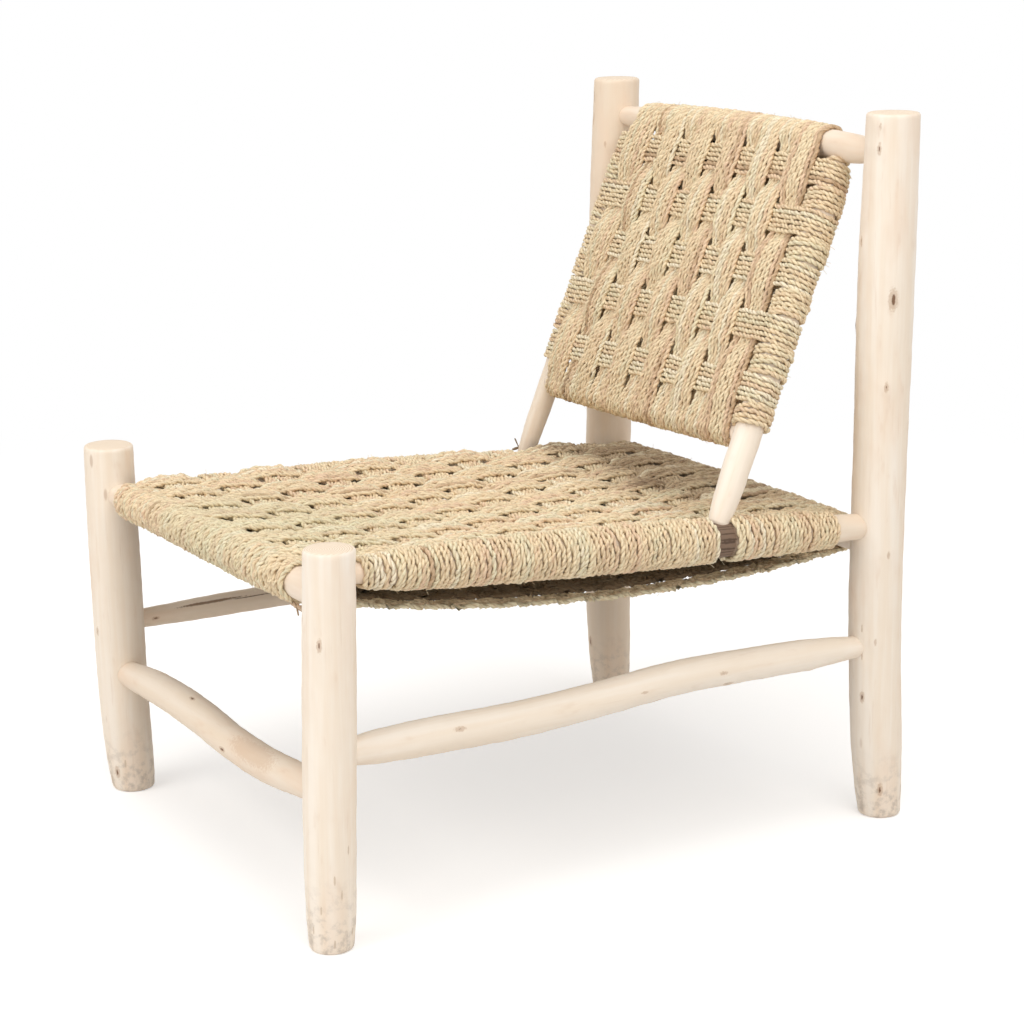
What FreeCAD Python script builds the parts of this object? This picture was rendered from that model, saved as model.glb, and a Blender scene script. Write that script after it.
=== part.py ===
import FreeCAD, Part
import math
import os

# A low lounge chair of peeled poles, with a seat and a back woven from twisted palm rope.
# All sizes are millimetres. +Z is up, the chair faces -Y, and +X is the sitter's left.
# The origin lies on the floor at the middle of the footprint.

# Legs: four upright poles, sawn flat at both ends
leg_spacing_x = 552.0
leg_spacing_y = 695.0
front_leg_height = 418.0
rear_post_height = 800.0
front_leg_diameter = 56.0
rear_post_diameter = 61.0
leg_end_drift = 10.0
leg_bow = 9.0
leg_end_chamfer = 3.0

# Round mortise and tenon joints
tenon_clearance = 0.3
shoulder_gap = 0.3
shoulder_overlength = 8.0
rail_tenon_diameter = 18.0
stretcher_tenon_diameter = 16.0
top_rail_tenon_diameter = 20.0
leg_tenon_length = 30.0
upright_tenon_diameter = 13.0
upright_tenon_length = 11.0
lower_rail_tenon_diameter = 12.0
lower_rail_tenon_length = 13.0

# Seat rails, with the heights of their tenons at each end
seat_rail_diameter = 36.0
side_rail_diameter = 41.0
front_rail_height_right = 362.0
front_rail_height_left = 369.0
rear_rail_height_right = 321.0
rear_rail_height_left = 320.0
side_rail_left_front_height = 390.0
side_rail_left_rear_height = 342.0
side_rail_right_front_height = 341.0
side_rail_right_rear_height = 300.0
side_rail_right_bow = 10.0

# Stretchers
stretcher_diameter = 36.0
slim_stretcher_diameter = 28.0
side_stretcher_height = 204.0
front_stretcher_height_right = 146.0
front_stretcher_height_left = 163.0
stretcher_bow = 7.0

# Back frame: two inclined uprights stand on the side rails and hold two cross rails
top_rail_diameter = 35.0
top_rail_below_post_top = 45.0
top_rail_bow = 2.0
upright_left_diameter = 31.0
upright_right_diameter = 26.0
upright_left_foot_y = 115.0
upright_right_foot_y = 205.0
lower_rail_diameter = 26.0

# Rope, laid in flat bands of strands that lie side by side
rope_diameter = 5.6
rope_seat_gap = 0.35
band_gap = 0.5
turn_over_gap = 0.6
wrap_end_gap = 2.0
wrap_meet_gap = 0.2

# Seat weave
seat_warp_count = 14
seat_weave_right_x = -246.0
seat_weave_left_x = 215.0
seat_weft_count = 10
seat_weft_strands = 6
seat_weft_inset_front = 50.5
seat_weft_inset_rear = 59.5
seat_crossing_gap = 0.6
seat_sag = 18.0
seat_under_sag = 29.0
seat_wrap_left_end_y = 276.0
seat_wrap_right_end_y = 306.0
foot_window = 28.0

# Back weave
back_weft_strands = 6
back_weft_first_drop = 38.3
back_weft_last_rise = 50.0
back_crossing_gap = 0.8
back_weft_lift = 17.0
back_weft_return_lift = -6.5
back_rope_gap = 0.8
back_meet_gap = 0.9

# Shapes of the poles as shares: (share of the length, share of the diameter)
front_leg_girth_shares = ((0.0, 0.87), (0.1, 0.94), (0.3, 0.98), (0.6, 1.0), (0.85, 0.98), (1.0, 0.95))
rear_post_girth_shares = ((0.0, 0.82), (0.07, 0.91), (0.25, 0.96), (0.5, 0.97), (0.82, 1.0), (1.0, 0.94))
front_rail_girth_shares = ((0.0, 0.76), (0.12, 0.82), (0.3, 0.88), (0.5, 0.95), (0.75, 1.0), (1.0, 0.93))
rear_rail_girth_shares = ((0.0, 0.86), (0.12, 0.93), (0.35, 1.0), (0.65, 1.0), (0.88, 0.95), (1.0, 0.88))
lower_rail_girth_shares = ((0.0, 0.9), (0.2, 0.97), (0.5, 1.0), (0.8, 0.97), (1.0, 0.9))
side_rail_girth_shares = (
    (0.0, 0.5), (0.08, 0.76), (0.25, 0.93), (0.5, 1.0),
    (0.75, 0.93), (0.93, 0.76), (1.0, 0.5))
top_rail_girth_shares = (
    (0.0, 0.66), (0.08, 0.78), (0.3, 0.94), (0.55, 1.0),
    (0.85, 0.95), (0.95, 0.88), (1.0, 0.7))
stretcher_girth_shares = (
    (0.0, 0.8), (0.1, 0.92), (0.3, 1.0), (0.6, 0.97),
    (0.85, 0.94), (0.95, 0.78), (1.0, 0.5))
upright_girth_shares = (
    (0.0, 0.47), (0.04, 0.62), (0.13, 0.93), (0.25, 1.0),
    (0.6, 1.0), (0.93, 0.97), (1.0, 0.9))

# Bends of the poles as shares: (share of the length, share of the bow)
leg_bow_shares = ((0.0, 0.0), (0.1, 0.5), (0.29, 1.0), (0.44, 0.9), (0.6, 0.68), (0.8, 0.42), (1.0, 0.0))
arch_bow_shares = ((0.0, 0.0), (0.25, 0.75), (0.5, 1.0), (0.75, 0.75), (1.0, 0.0))
wavy_bow_shares = ((0.0, 0.0), (0.15, -0.15), (0.3, -0.4), (0.45, 0.1), (0.62, 1.0), (0.8, 0.65), (1.0, 0.0))
crooked_bow_shares = (
    (0.0, 0.0), (0.2, 0.35), (0.4, -0.1), (0.6, -0.85),
    (0.78, -0.8), (0.92, -0.2), (1.0, 0.0))
bow_heading_share = (-0.51, -0.86)

# Each leg's corner, the drift of its foot and its top in shares of leg_end_drift, and its bow share
leg_shares = {
    "front_leg_left": ((1, -1), (0.0, -0.8), (0.1, 0.2), 0.15),
    "front_leg_right": ((-1, -1), (0.3, 0.8), (0.0, -0.1), 0.45),
    "rear_post_left": ((1, 1), (-0.2, 0.4), (0.6, -0.5), 1.0),
    "rear_post_right": ((-1, 1), (0.0, -0.6), (0.2, 0.4), 0.8),
}

# Places on the back frame: shares of the top rail's length where the uprights meet it,
# share of an upright's length where the lower rail enters it, the ends of the rope wraps, and
# the share at which it passes through the gap in the side rail's wrap
upright_left_top_share = 0.885
upright_right_top_share = 0.06
lower_rail_share = 0.235
back_wrap_left_shares = (0.215, 0.95)
back_wrap_right_shares = (0.23, 0.95)
foot_window_share = 0.02

# Edges of the back's upright bands, as shares of the width between the uprights' axes,
# and places of its cross bands, as shares of the way from the first one to the last one
back_edge_top_shares = (0.047, 0.165, 0.242, 0.319, 0.396, 0.473, 0.55, 0.627, 0.705, 0.782, 0.86, 0.948)
back_edge_low_shares = (0.04, 0.125, 0.206, 0.287, 0.368, 0.449, 0.53, 0.611, 0.692, 0.773, 0.854, 0.952)
back_weft_shares = (0.0, 0.238, 0.476, 0.728, 1.0)

# Drift of the seat's last cross bands from an even pitch, in shares of the pitch, where they
# pass behind the uprights' feet: (left end, right end)
seat_weft_drift_shares = {7: (0.11, 0.0), 8: (-0.11, 0.28), 9: (-0.48, 0.0)}

# Hang of a band's plain run at its quarter points, as a share of its hang in the middle
quarter_hang_share = 0.75

# Angles where the seat's cross bands meet the side wraps: from the top for the woven run,
# and from the underside for the run back, in degrees
meet_angle = 30
return_angle_left = 25
return_angle_right = 110

# Facets that a knife leaves round a pole and round a tenon, and fineness of the lofts
pole_facets = 16
tenon_facets = 10
pole_rings = 7
arc_steps = 5
ribbon_steps = 5
return_steps = 3


def smooth(table, share):
    """Value of a (share, value) table at a share, on a smooth curve through its points."""
    last = len(table) - 1
    i = max(0, min(last - 1, sum(1 for s, _ in table if s <= share) - 1))
    (s0, v0), (s1, v1) = table[i], table[i + 1]
    before, after = table[max(0, i - 1)], table[min(last, i + 2)]
    width = s1 - s0
    m0 = (v1 - before[1]) / (s1 - before[0]) * width
    m1 = (after[1] - v0) / (after[0] - s0) * width
    t = (share - s0) / width
    rise = t * t * (3 - 2 * t)
    return v0 * (1 - rise) + v1 * rise + m0 * t * (1 - t) ** 2 - m1 * t * t * (1 - t)


def mix(a, b, share):
    return a + (b - a) * share


def corners_round(centre, normal, radius, count):
    """Corners evenly spaced on a circle, always turned the same way round a given normal."""
    across = normal.cross(FreeCAD.Vector(1, 1, 1)).normalize()
    over = normal.cross(across)
    turns = [2 * math.pi * k / count for k in range(count)]
    return [centre + (across * math.cos(turn) + over * math.sin(turn)) * radius for turn in turns]


def faceted_solid(rings):
    """A solid with flat facets between rings of corners that lie in parallel planes."""
    outlines = [rings[0][::-1], rings[-1]]
    for low, high in zip(rings, rings[1:]):
        for k in range(len(low)):
            outlines.append([low[k - 1], low[k], high[k], high[k - 1]])
    faces = [Part.Face(Part.makePolygon(outline + outline[:1])) for outline in outlines]
    return Part.makeSolid(Part.makeShell(faces))


class Pole:
    """A peeled pole: a bent, tapering bar with narrow facets, from start to end."""

    def __init__(self, start, end, diameter, girth_shares, bow_shares, bow):
        self.start, self.end = start, end
        self.diameter, self.girth_shares = diameter, girth_shares
        self.bow_shares, self.bow = bow_shares, bow
        self.length = (end - start).Length
        self.direction = (end - start) / self.length
        self.facing = self.direction

    def between_rings(self, table, share):
        """Value of a table, straight between the pole's rings as its facets are."""
        step = 1 / (pole_rings - 1)
        low = step * max(0, min(pole_rings - 2, int(share / step)))
        return mix(smooth(table, low), smooth(table, low + step), (share - low) / step)

    def point(self, share):
        return mix(self.start, self.end, share) + self.bow * self.between_rings(self.bow_shares, share)

    def radius(self, share):
        return self.diameter * self.between_rings(self.girth_shares, share) / 2

    def share_at(self, axis, place):
        """Share of the length at which the pole reaches a place along the x, y or z axis."""
        return (place - self.start[axis]) / (self.end[axis] - self.start[axis])

    def ring(self, share, growth, beyond=0.0):
        centre = self.point(share) + self.direction * beyond
        return corners_round(centre, self.facing, self.radius(share) + growth, pole_facets)

    def solid(self, growth=0.0, overlength=0.0, chamfer=0.0):
        """The pole, if asked grown all round, left long at its ends or chamfered there."""
        rings = [self.ring(k / (pole_rings - 1), growth) for k in range(pole_rings)]
        if overlength:
            rings[0] = self.ring(0, growth, -overlength)
            rings[-1] = self.ring(1, growth, overlength)
        if chamfer:
            inset = chamfer / self.length
            rings[0] = self.ring(inset, growth)
            rings[-1] = self.ring(1 - inset, growth)
            rings.insert(0, self.ring(0, growth - chamfer))
            rings.append(self.ring(1, growth - chamfer))
        return faceted_solid(rings)

    def sleeve(self, share_a, share_b):
        """A wrap of rope round the pole between two shares of its length."""
        reach = self.diameter + rope_diameter
        length = self.length * (share_b - share_a)
        stretch = peg(self.point(share_a), self.direction, reach, length)
        outside = self.solid(rope_seat_gap + rope_diameter, shoulder_overlength).common(stretch)
        return outside.cut(self.solid(rope_seat_gap, shoulder_overlength))


def peg(base, direction, radius, length):
    """A whittled peg, used for the tenons, and a little larger for their holes."""
    tip = base + direction * length
    return faceted_solid([corners_round(end, direction, radius, tenon_facets) for end in (base, tip)])


# Legs

def make_leg(name):
    corner, foot_drift, top_drift, bow_share = leg_shares[name]
    front = corner[1] < 0
    height = front_leg_height if front else rear_post_height
    diameter = front_leg_diameter if front else rear_post_diameter
    girth = front_leg_girth_shares if front else rear_post_girth_shares
    nominal = FreeCAD.Vector(corner[0] * leg_spacing_x / 2, corner[1] * leg_spacing_y / 2, 0)
    foot = nominal + FreeCAD.Vector(*foot_drift, 0) * leg_end_drift
    top = nominal + FreeCAD.Vector(*top_drift, 0) * leg_end_drift + FreeCAD.Vector(0, 0, height)
    bow = FreeCAD.Vector(*bow_heading_share, 0) * leg_bow * bow_share
    leg = Pole(foot, top, diameter, girth, leg_bow_shares, bow)
    leg.facing = FreeCAD.Vector(0, 0, 1)
    return leg


# Bars: rails and stretchers that run from one pole into another

def make_bar(pole_a, share_a, pole_b, share_b, diameter, girth_shares, bow_shares, bow):
    """A bar that runs from the surface of pole_a to the surface of pole_b."""
    centre_a, centre_b = pole_a.point(share_a), pole_b.point(share_b)
    direction = (centre_b - centre_a).normalize()
    start = centre_a + direction * pole_a.radius(share_a)
    end = centre_b - direction * pole_b.radius(share_b)
    return Pole(start, end, diameter, girth_shares, bow_shares, bow)


def join(shapes, poles, bar_name, holders, diameter, length):
    """Scribe both ends of a bar to the poles that hold it, and tenon them in."""
    bar = poles[bar_name]
    body = bar.solid(overlength=shoulder_overlength)
    for holder, mouth, into in ((holders[0], bar.start, bar.direction * -1),
                                (holders[1], bar.end, bar.direction)):
        body = body.cut(poles[holder].solid(shoulder_gap))
        root = mouth - into * shoulder_overlength
        body = body.fuse(peg(root, into, diameter / 2, shoulder_overlength + length))
        mortise = peg(root, into, diameter / 2 + tenon_clearance,
                      shoulder_overlength + length + tenon_clearance)
        shapes[holder] = shapes[holder].cut(mortise)
    shapes[bar_name] = body


def upward(size):
    return FreeCAD.Vector(0, 0, size)


# Frame: the poles and how they hold each other

def frame_poles():
    """Every pole of the chair by name."""
    poles = {name: make_leg(name) for name in leg_shares}

    def between(a, height_a, b, height_b, *shape):
        share_a = poles[a].share_at(2, height_a)
        share_b = poles[b].share_at(2, height_b)
        return make_bar(poles[a], share_a, poles[b], share_b, *shape)

    poles["front_seat_rail"] = between(
        "front_leg_right", front_rail_height_right, "front_leg_left", front_rail_height_left,
        seat_rail_diameter, front_rail_girth_shares, arch_bow_shares, upward(0))
    poles["rear_seat_rail"] = between(
        "rear_post_right", rear_rail_height_right, "rear_post_left", rear_rail_height_left,
        seat_rail_diameter, rear_rail_girth_shares, arch_bow_shares, upward(0))
    poles["side_seat_rail_left"] = between(
        "front_leg_left", side_rail_left_front_height, "rear_post_left", side_rail_left_rear_height,
        side_rail_diameter, side_rail_girth_shares, arch_bow_shares, upward(0))
    poles["side_seat_rail_right"] = between(
        "front_leg_right", side_rail_right_front_height, "rear_post_right", side_rail_right_rear_height,
        side_rail_diameter, side_rail_girth_shares, arch_bow_shares, upward(side_rail_right_bow))
    poles["front_stretcher"] = between(
        "front_leg_right", front_stretcher_height_right, "front_leg_left", front_stretcher_height_left,
        stretcher_diameter, stretcher_girth_shares, crooked_bow_shares, upward(stretcher_bow))
    poles["side_stretcher_left"] = between(
        "front_leg_left", side_stretcher_height, "rear_post_left", side_stretcher_height,
        stretcher_diameter, stretcher_girth_shares, wavy_bow_shares, upward(stretcher_bow))
    poles["side_stretcher_right"] = between(
        "front_leg_right", side_stretcher_height, "rear_post_right", side_stretcher_height,
        slim_stretcher_diameter, stretcher_girth_shares, arch_bow_shares, upward(0))
    poles["top_rail"] = between(
        "rear_post_right", rear_post_height - top_rail_below_post_top,
        "rear_post_left", rear_post_height - top_rail_below_post_top,
        top_rail_diameter, top_rail_girth_shares, arch_bow_shares, upward(top_rail_bow))
    for side, foot_y, top_share, diameter in (
            ("left", upright_left_foot_y, upright_left_top_share, upright_left_diameter),
            ("right", upright_right_foot_y, upright_right_top_share, upright_right_diameter)):
        rail = poles["side_seat_rail_" + side]
        poles["back_upright_" + side] = make_bar(
            rail, rail.share_at(1, foot_y), poles["top_rail"], top_share,
            diameter, upright_girth_shares, arch_bow_shares, upward(0))
    poles["back_lower_rail"] = make_bar(
        poles["back_upright_right"], lower_rail_share, poles["back_upright_left"], lower_rail_share,
        lower_rail_diameter, lower_rail_girth_shares, arch_bow_shares, upward(0))
    return poles


def frame_shapes(poles):
    """The solid of every pole, with its tenons and mortises."""
    shapes = {name: poles[name].solid(chamfer=leg_end_chamfer) for name in leg_shares}
    slim_tenon_diameter = stretcher_tenon_diameter * slim_stretcher_diameter / stretcher_diameter
    for name, holders, diameter in (
            ("front_seat_rail", ("front_leg_right", "front_leg_left"), rail_tenon_diameter),
            ("rear_seat_rail", ("rear_post_right", "rear_post_left"), rail_tenon_diameter),
            ("side_seat_rail_left", ("front_leg_left", "rear_post_left"), rail_tenon_diameter),
            ("side_seat_rail_right", ("front_leg_right", "rear_post_right"), rail_tenon_diameter),
            ("front_stretcher", ("front_leg_right", "front_leg_left"), stretcher_tenon_diameter),
            ("side_stretcher_left", ("front_leg_left", "rear_post_left"), stretcher_tenon_diameter),
            ("side_stretcher_right", ("front_leg_right", "rear_post_right"), slim_tenon_diameter),
            ("top_rail", ("rear_post_right", "rear_post_left"), top_rail_tenon_diameter)):
        join(shapes, poles, name, holders, diameter, leg_tenon_length)
    for side in ("left", "right"):
        holders = ("side_seat_rail_" + side, "top_rail")
        join(shapes, poles, "back_upright_" + side, holders, upright_tenon_diameter, upright_tenon_length)
    join(shapes, poles, "back_lower_rail", ("back_upright_right", "back_upright_left"),
         lower_rail_tenon_diameter, lower_rail_tenon_length)
    return shapes


# Rope bands: thin strips that follow a path

def leave_angle(radius, u, n):
    """Angle on a circle, from +n towards +u, at which a tangent leaves for the point (u, n)."""
    return math.atan2(u, n) - math.acos(radius / math.hypot(u, n))


def arc_path(centre, radius, u_axis, n_axis, angle_a, angle_b):
    """Points round a rail, each with the outward direction there."""
    half_step = (angle_b - angle_a) / arc_steps / 2
    inside = radius - rope_diameter / 2
    corner_radius = radius + inside / math.cos(half_step) - inside
    path = []
    for k in range(arc_steps + 1):
        angle = mix(angle_a, angle_b, k / arc_steps)
        outward = n_axis * math.cos(angle) + u_axis * math.sin(angle)
        path.append((centre + outward * corner_radius, outward))
    return path


def belt(path_a, path_b):
    """A band of rope that turns over rails, between two side paths of (point, outward)."""
    outlines = []
    for path in (path_a, path_b):
        outer = [point + outward * (rope_diameter / 2) for point, outward in path]
        inner = [point - outward * (rope_diameter / 2) for point, outward in path]
        outlines.append(Part.makePolygon(outer + inner[::-1] + outer[:1]))
    return Part.makeLoft(outlines, True, True)


def ribbon(stations):
    """A band of rope that runs from side to side, through (edge, edge, outward) stations."""
    sections = []
    for edge_a, edge_b, outward in stations:
        rise = outward * (rope_diameter / 2)
        corners = [edge_a + rise, edge_b + rise, edge_b - rise, edge_a - rise]
        sections.append(Part.makePolygon(corners + corners[:1]))
    return Part.makeLoft(sections, True, True)


def loop_path(first, first_radius, last, last_radius, n_axis, waves, under_sag):
    """One side of a band that runs over two rails and back under them.

    first and last are points on the rails' axes, waves are (u, n) points of the woven run,
    measured from first, and under_sag is how far the plain run hangs."""
    span = (last - first).Length
    u_axis = (last - first) / span
    back = n_axis * -1
    start_angle = leave_angle(first_radius, *waves[0])
    u_last, n_last = waves[-1]
    end_angle = leave_angle(last_radius, span - u_last, n_last)
    slit = u_axis * (turn_over_gap / 2)
    quarter_sag = back * (under_sag * quarter_hang_share)
    under_first, under_last = first + back * first_radius, last + back * last_radius
    low_first = mix(under_first, under_last, 1 / 4) + quarter_sag
    low_last = mix(under_first, under_last, 3 / 4) + quarter_sag
    middle = mix(under_first, under_last, 1 / 2) + back * under_sag
    path = [(middle - slit, back), (low_first, back)]
    path += arc_path(first, first_radius, u_axis * -1, n_axis, math.pi, -start_angle)
    path += [(first + u_axis * u + n_axis * n, n_axis) for u, n in waves]
    path += arc_path(last, last_radius, u_axis, n_axis, -end_angle, math.pi)
    path += [(low_last, back), (middle + slit, back)]
    return path


# Seat weave

def seat_weft_y(row, x):
    """Place of a cross band at an x: it drifts where it passes behind an upright's foot."""
    first = seat_weft_inset_front - leg_spacing_y / 2
    last = leg_spacing_y / 2 - seat_weft_inset_rear
    left_share, right_share = seat_weft_drift_shares.get(row, (0.0, 0.0))
    across = x / leg_spacing_x + 1 / 2
    drift = mix(right_share, left_share, across)
    return mix(first, last, (row + drift) / (seat_weft_count - 1))


def seat_rail_radius(rail, share):
    return rail.radius(share) + rope_seat_gap + rope_diameter / 2


def seat_hang(x, along):
    """Share of the full sag at an x and a share of the way from the front to the rear rail."""
    half_width = max(-seat_weave_right_x, seat_weave_left_x)
    return max(0.0, 1 - (x / half_width) ** 2) * (4 * along * (1 - along))


def seat_height(poles, x, y):
    """Height of the seat's middle surface: it hangs between the front and rear rails."""
    front, rear = poles["front_seat_rail"], poles["rear_seat_rail"]
    share_f, share_r = front.share_at(0, x), rear.share_at(0, x)
    point_f, point_r = front.point(share_f), rear.point(share_r)
    top_f = point_f.z + seat_rail_radius(front, share_f)
    top_r = point_r.z + seat_rail_radius(rear, share_r)
    along = (y - point_f.y) / (point_r.y - point_f.y)
    return mix(top_f, top_r, along) - seat_sag * seat_hang(x, along)


def seat_warp_side(poles, x, band):
    """Path of one edge of a front-to-back band in the plane at x."""
    front, rear = poles["front_seat_rail"], poles["rear_seat_rail"]
    share_f, share_r = front.share_at(0, x), rear.share_at(0, x)
    first, last = front.point(share_f), rear.point(share_r)
    last.x = first.x = x
    along = (last - first).normalize()
    n_axis = FreeCAD.Vector(0, -along.z, along.y)
    lift = rope_diameter + seat_crossing_gap
    reach = seat_weft_strands * rope_diameter / 2 + seat_crossing_gap
    waves = []
    for row in range(seat_weft_count):
        side = 1 if (band + row) % 2 == 0 else -1
        y_mid = seat_weft_y(row, x)
        for y in (y_mid - reach, y_mid + reach):
            offset = FreeCAD.Vector(x, y, seat_height(poles, x, y) + side * lift) - first
            waves.append((offset.dot(along), offset.dot(n_axis)))
    return loop_path(first, seat_rail_radius(front, share_f), last, seat_rail_radius(rear, share_r),
                     n_axis, waves, seat_under_sag)


def seat_warp_band(poles, band):
    pitch = (seat_weave_left_x - seat_weave_right_x) / seat_warp_count
    x_a = seat_weave_right_x + pitch * band + band_gap / 2
    x_b = x_a + pitch - band_gap
    return belt(seat_warp_side(poles, x_a, band), seat_warp_side(poles, x_b, band))


def wrap_meeting(poles, side, y, turn):
    """Point just off the wrap on a side rail, at a turn inwards from its top."""
    rail = poles["side_seat_rail_" + side]
    share = rail.share_at(1, y)
    reach = rail.radius(share) + rope_seat_gap + rope_diameter + rope_diameter / 2 + wrap_meet_gap
    inward = -1 if side == "left" else 1
    return rail.point(share) + FreeCAD.Vector(inward * math.sin(turn), 0, math.cos(turn)) * reach


def seat_weft_edge(poles, row, edge):
    """One edge of a side-to-side band, from the right wrap to the left one."""
    off = edge * seat_weft_strands * rope_diameter / 2
    turn = math.radians(meet_angle)
    start = wrap_meeting(poles, "right", seat_weft_y(row, seat_weave_right_x) + off, turn)
    end = wrap_meeting(poles, "left", seat_weft_y(row, seat_weave_left_x) + off, turn)
    points = [start]
    for k in range(ribbon_steps + 1):
        x = mix(seat_weave_right_x, seat_weave_left_x, k / ribbon_steps)
        y = seat_weft_y(row, x) + off
        points.append(FreeCAD.Vector(x, y, seat_height(poles, x, y)))
    return points + [end]


def seat_weft_return_edge(poles, row, edge):
    """One edge of the band's way back, which hangs below the woven run."""
    off = edge * seat_weft_strands * rope_diameter / 2
    y_right = seat_weft_y(row, seat_weave_right_x) + off
    y_left = seat_weft_y(row, seat_weave_left_x) + off
    start = wrap_meeting(poles, "right", y_right, math.pi - math.radians(return_angle_right))
    end = wrap_meeting(poles, "left", y_left, math.pi - math.radians(return_angle_left))
    points = []
    for k in range(return_steps + 1):
        point = mix(start, end, k / return_steps)
        along = (point.y - poles["front_seat_rail"].start.y) / leg_spacing_y
        points.append(point - upward(seat_sag * seat_hang(point.x, along)))
    return points


def seat_weft_band(poles, row):
    runs = []
    for run_edge in (seat_weft_edge, seat_weft_return_edge):
        edges = zip(run_edge(poles, row, -1), run_edge(poles, row, 1))
        runs.append(ribbon([(a, b, upward(1)) for a, b in edges]))
    return Part.makeCompound(runs)


def seat_side_wrap(poles, side, end_y):
    """Rope wound round a side rail, parted where the upright's foot stands."""
    rail = poles["side_seat_rail_" + side]
    foot_y = poles["back_upright_" + side].point(foot_window_share).y
    front_share = wrap_end_gap / rail.length
    foot_shares = [rail.share_at(1, foot_y + off) for off in (-foot_window / 2, foot_window / 2)]
    ahead = rail.sleeve(front_share, foot_shares[0])
    behind = rail.sleeve(foot_shares[1], rail.share_at(1, end_y))
    return Part.makeCompound([ahead, behind])


# Back weave

def back_axes(poles, across_top, across_low):
    """Axis points on the top rail and the lower rail, with the front direction there."""
    top_rail = poles["top_rail"]
    low_right = poles["back_upright_right"].point(lower_rail_share)
    low_left = poles["back_upright_left"].point(lower_rail_share)
    first = top_rail.point(mix(upright_right_top_share, upright_left_top_share, across_top))
    last = mix(low_right, low_left, across_low)
    across = top_rail.direction + (low_left - low_right).normalize()
    front = (last - first).cross(across).normalize()
    return first, last, front


def back_weft_place(row, span):
    """Distance of a cross band below the top rail's axis, where the two rails are a span apart."""
    return mix(back_weft_first_drop, span - back_weft_last_rise, back_weft_shares[row])


def back_warp_side(poles, across_top, across_low, band):
    first, last, front = back_axes(poles, across_top, across_low)
    top_rail, low_rail = poles["top_rail"], poles["back_lower_rail"]
    top_radius = top_rail.radius(top_rail.share_at(0, first.x)) + back_rope_gap + rope_diameter / 2
    low_share = min(1.0, max(0.0, low_rail.share_at(0, last.x)))
    low_radius = low_rail.radius(low_share) + back_rope_gap + rope_diameter / 2
    span = (last - first).Length
    lift = rope_diameter + back_crossing_gap
    reach = back_weft_strands * rope_diameter / 2 + back_crossing_gap
    waves = []
    for row in range(len(back_weft_shares)):
        side = 1 if (band + row) % 2 == 0 else -1
        for step in (-reach, reach):
            waves.append((back_weft_place(row, span) + step, back_weft_lift + side * lift))
    return loop_path(first, top_radius, last, low_radius, front, waves, 0.0)


def back_warp_band(poles, band):
    """An upright band, its two edges a little inside its place between its neighbours."""
    inset = band_gap / 2 / poles["back_lower_rail"].length
    tops, lows = back_edge_top_shares, back_edge_low_shares
    side_a = back_warp_side(poles, tops[band] + inset, lows[band] + inset, band)
    side_b = back_warp_side(poles, tops[band + 1] - inset, lows[band + 1] - inset, band)
    return belt(side_a, side_b)


def back_weft_run(poles, row, lift):
    """A cross band at a height off the axes, stopped just short of the uprights' wraps."""
    half_width = back_weft_strands * rope_diameter / 2
    centres = []
    for across in (0.0, 1.0):
        first, last, front = back_axes(poles, across, across)
        span = (last - first).Length
        down = (last - first) / span
        centre = first + down * back_weft_place(row, span) + front * lift
        centres.append((centre, down * half_width, front))
    (start, down_a, front_a), (end, down_b, front_b) = centres
    along = (end - start).normalize()
    start = start + along * wrap_clearance(poles["back_upright_right"], row, lift)
    end = end - along * wrap_clearance(poles["back_upright_left"], row, lift)
    return ribbon([(start - down_a, start + down_a, front_a), (end - down_b, end + down_b, front_b)])


def wrap_clearance(upright, row, lift):
    """Distance from an upright's axis at which a cross band at this lift clears the wrap."""
    span = upright.length * (1 - lower_rail_share)
    radius = upright.radius(mix(1.0, lower_rail_share, back_weft_place(row, span) / span))
    wrap_radius = radius + rope_seat_gap + rope_diameter
    near_face = abs(lift) - rope_diameter / 2
    return math.sqrt(wrap_radius ** 2 - near_face ** 2) + back_meet_gap


def back_weft_band(poles, row):
    return Part.makeCompound([back_weft_run(poles, row, back_weft_lift),
                              back_weft_run(poles, row, back_weft_return_lift)])


def back_side_wrap(poles, side, wrap_shares):
    """Rope wound round an upright, parted where the lower rail enters it."""
    sleeve = poles["back_upright_" + side].sleeve(*wrap_shares)
    rail = poles["back_lower_rail"].solid(rope_seat_gap, shoulder_overlength)
    return sleeve.cut(rail)


def rope_shapes(poles):
    """Every band and wrap of rope by name."""
    shapes = {}
    for band in range(seat_warp_count):
        shapes["seat_warp_band_%02d" % (band + 1)] = seat_warp_band(poles, band)
    for row in range(seat_weft_count):
        shapes["seat_weft_band_%02d" % (row + 1)] = seat_weft_band(poles, row)
    for band in range(len(back_edge_top_shares) - 1):
        shapes["back_warp_band_%02d" % (band + 1)] = back_warp_band(poles, band)
    for row in range(len(back_weft_shares)):
        shapes["back_weft_band_%d" % (row + 1)] = back_weft_band(poles, row)
    shapes["seat_side_wrap_left"] = seat_side_wrap(poles, "left", seat_wrap_left_end_y)
    shapes["seat_side_wrap_right"] = seat_side_wrap(poles, "right", seat_wrap_right_end_y)
    shapes["back_side_wrap_left"] = back_side_wrap(poles, "left", back_wrap_left_shares)
    shapes["back_side_wrap_right"] = back_side_wrap(poles, "right", back_wrap_right_shares)
    return shapes


poles = frame_poles()
shapes = frame_shapes(poles)
shapes.update(rope_shapes(poles))
os.makedirs("parts", exist_ok=True)
for name, shape in shapes.items():
    shape.exportStep("parts/" + name + ".step")
    print(name, len(shape.Solids), round(shape.Volume), shape.isValid())
whole = Part.makeCompound(list(shapes.values())).BoundBox
print("box", whole)
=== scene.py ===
import math
import bpy
import numpy as np
from mathutils import Matrix, Vector


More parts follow.
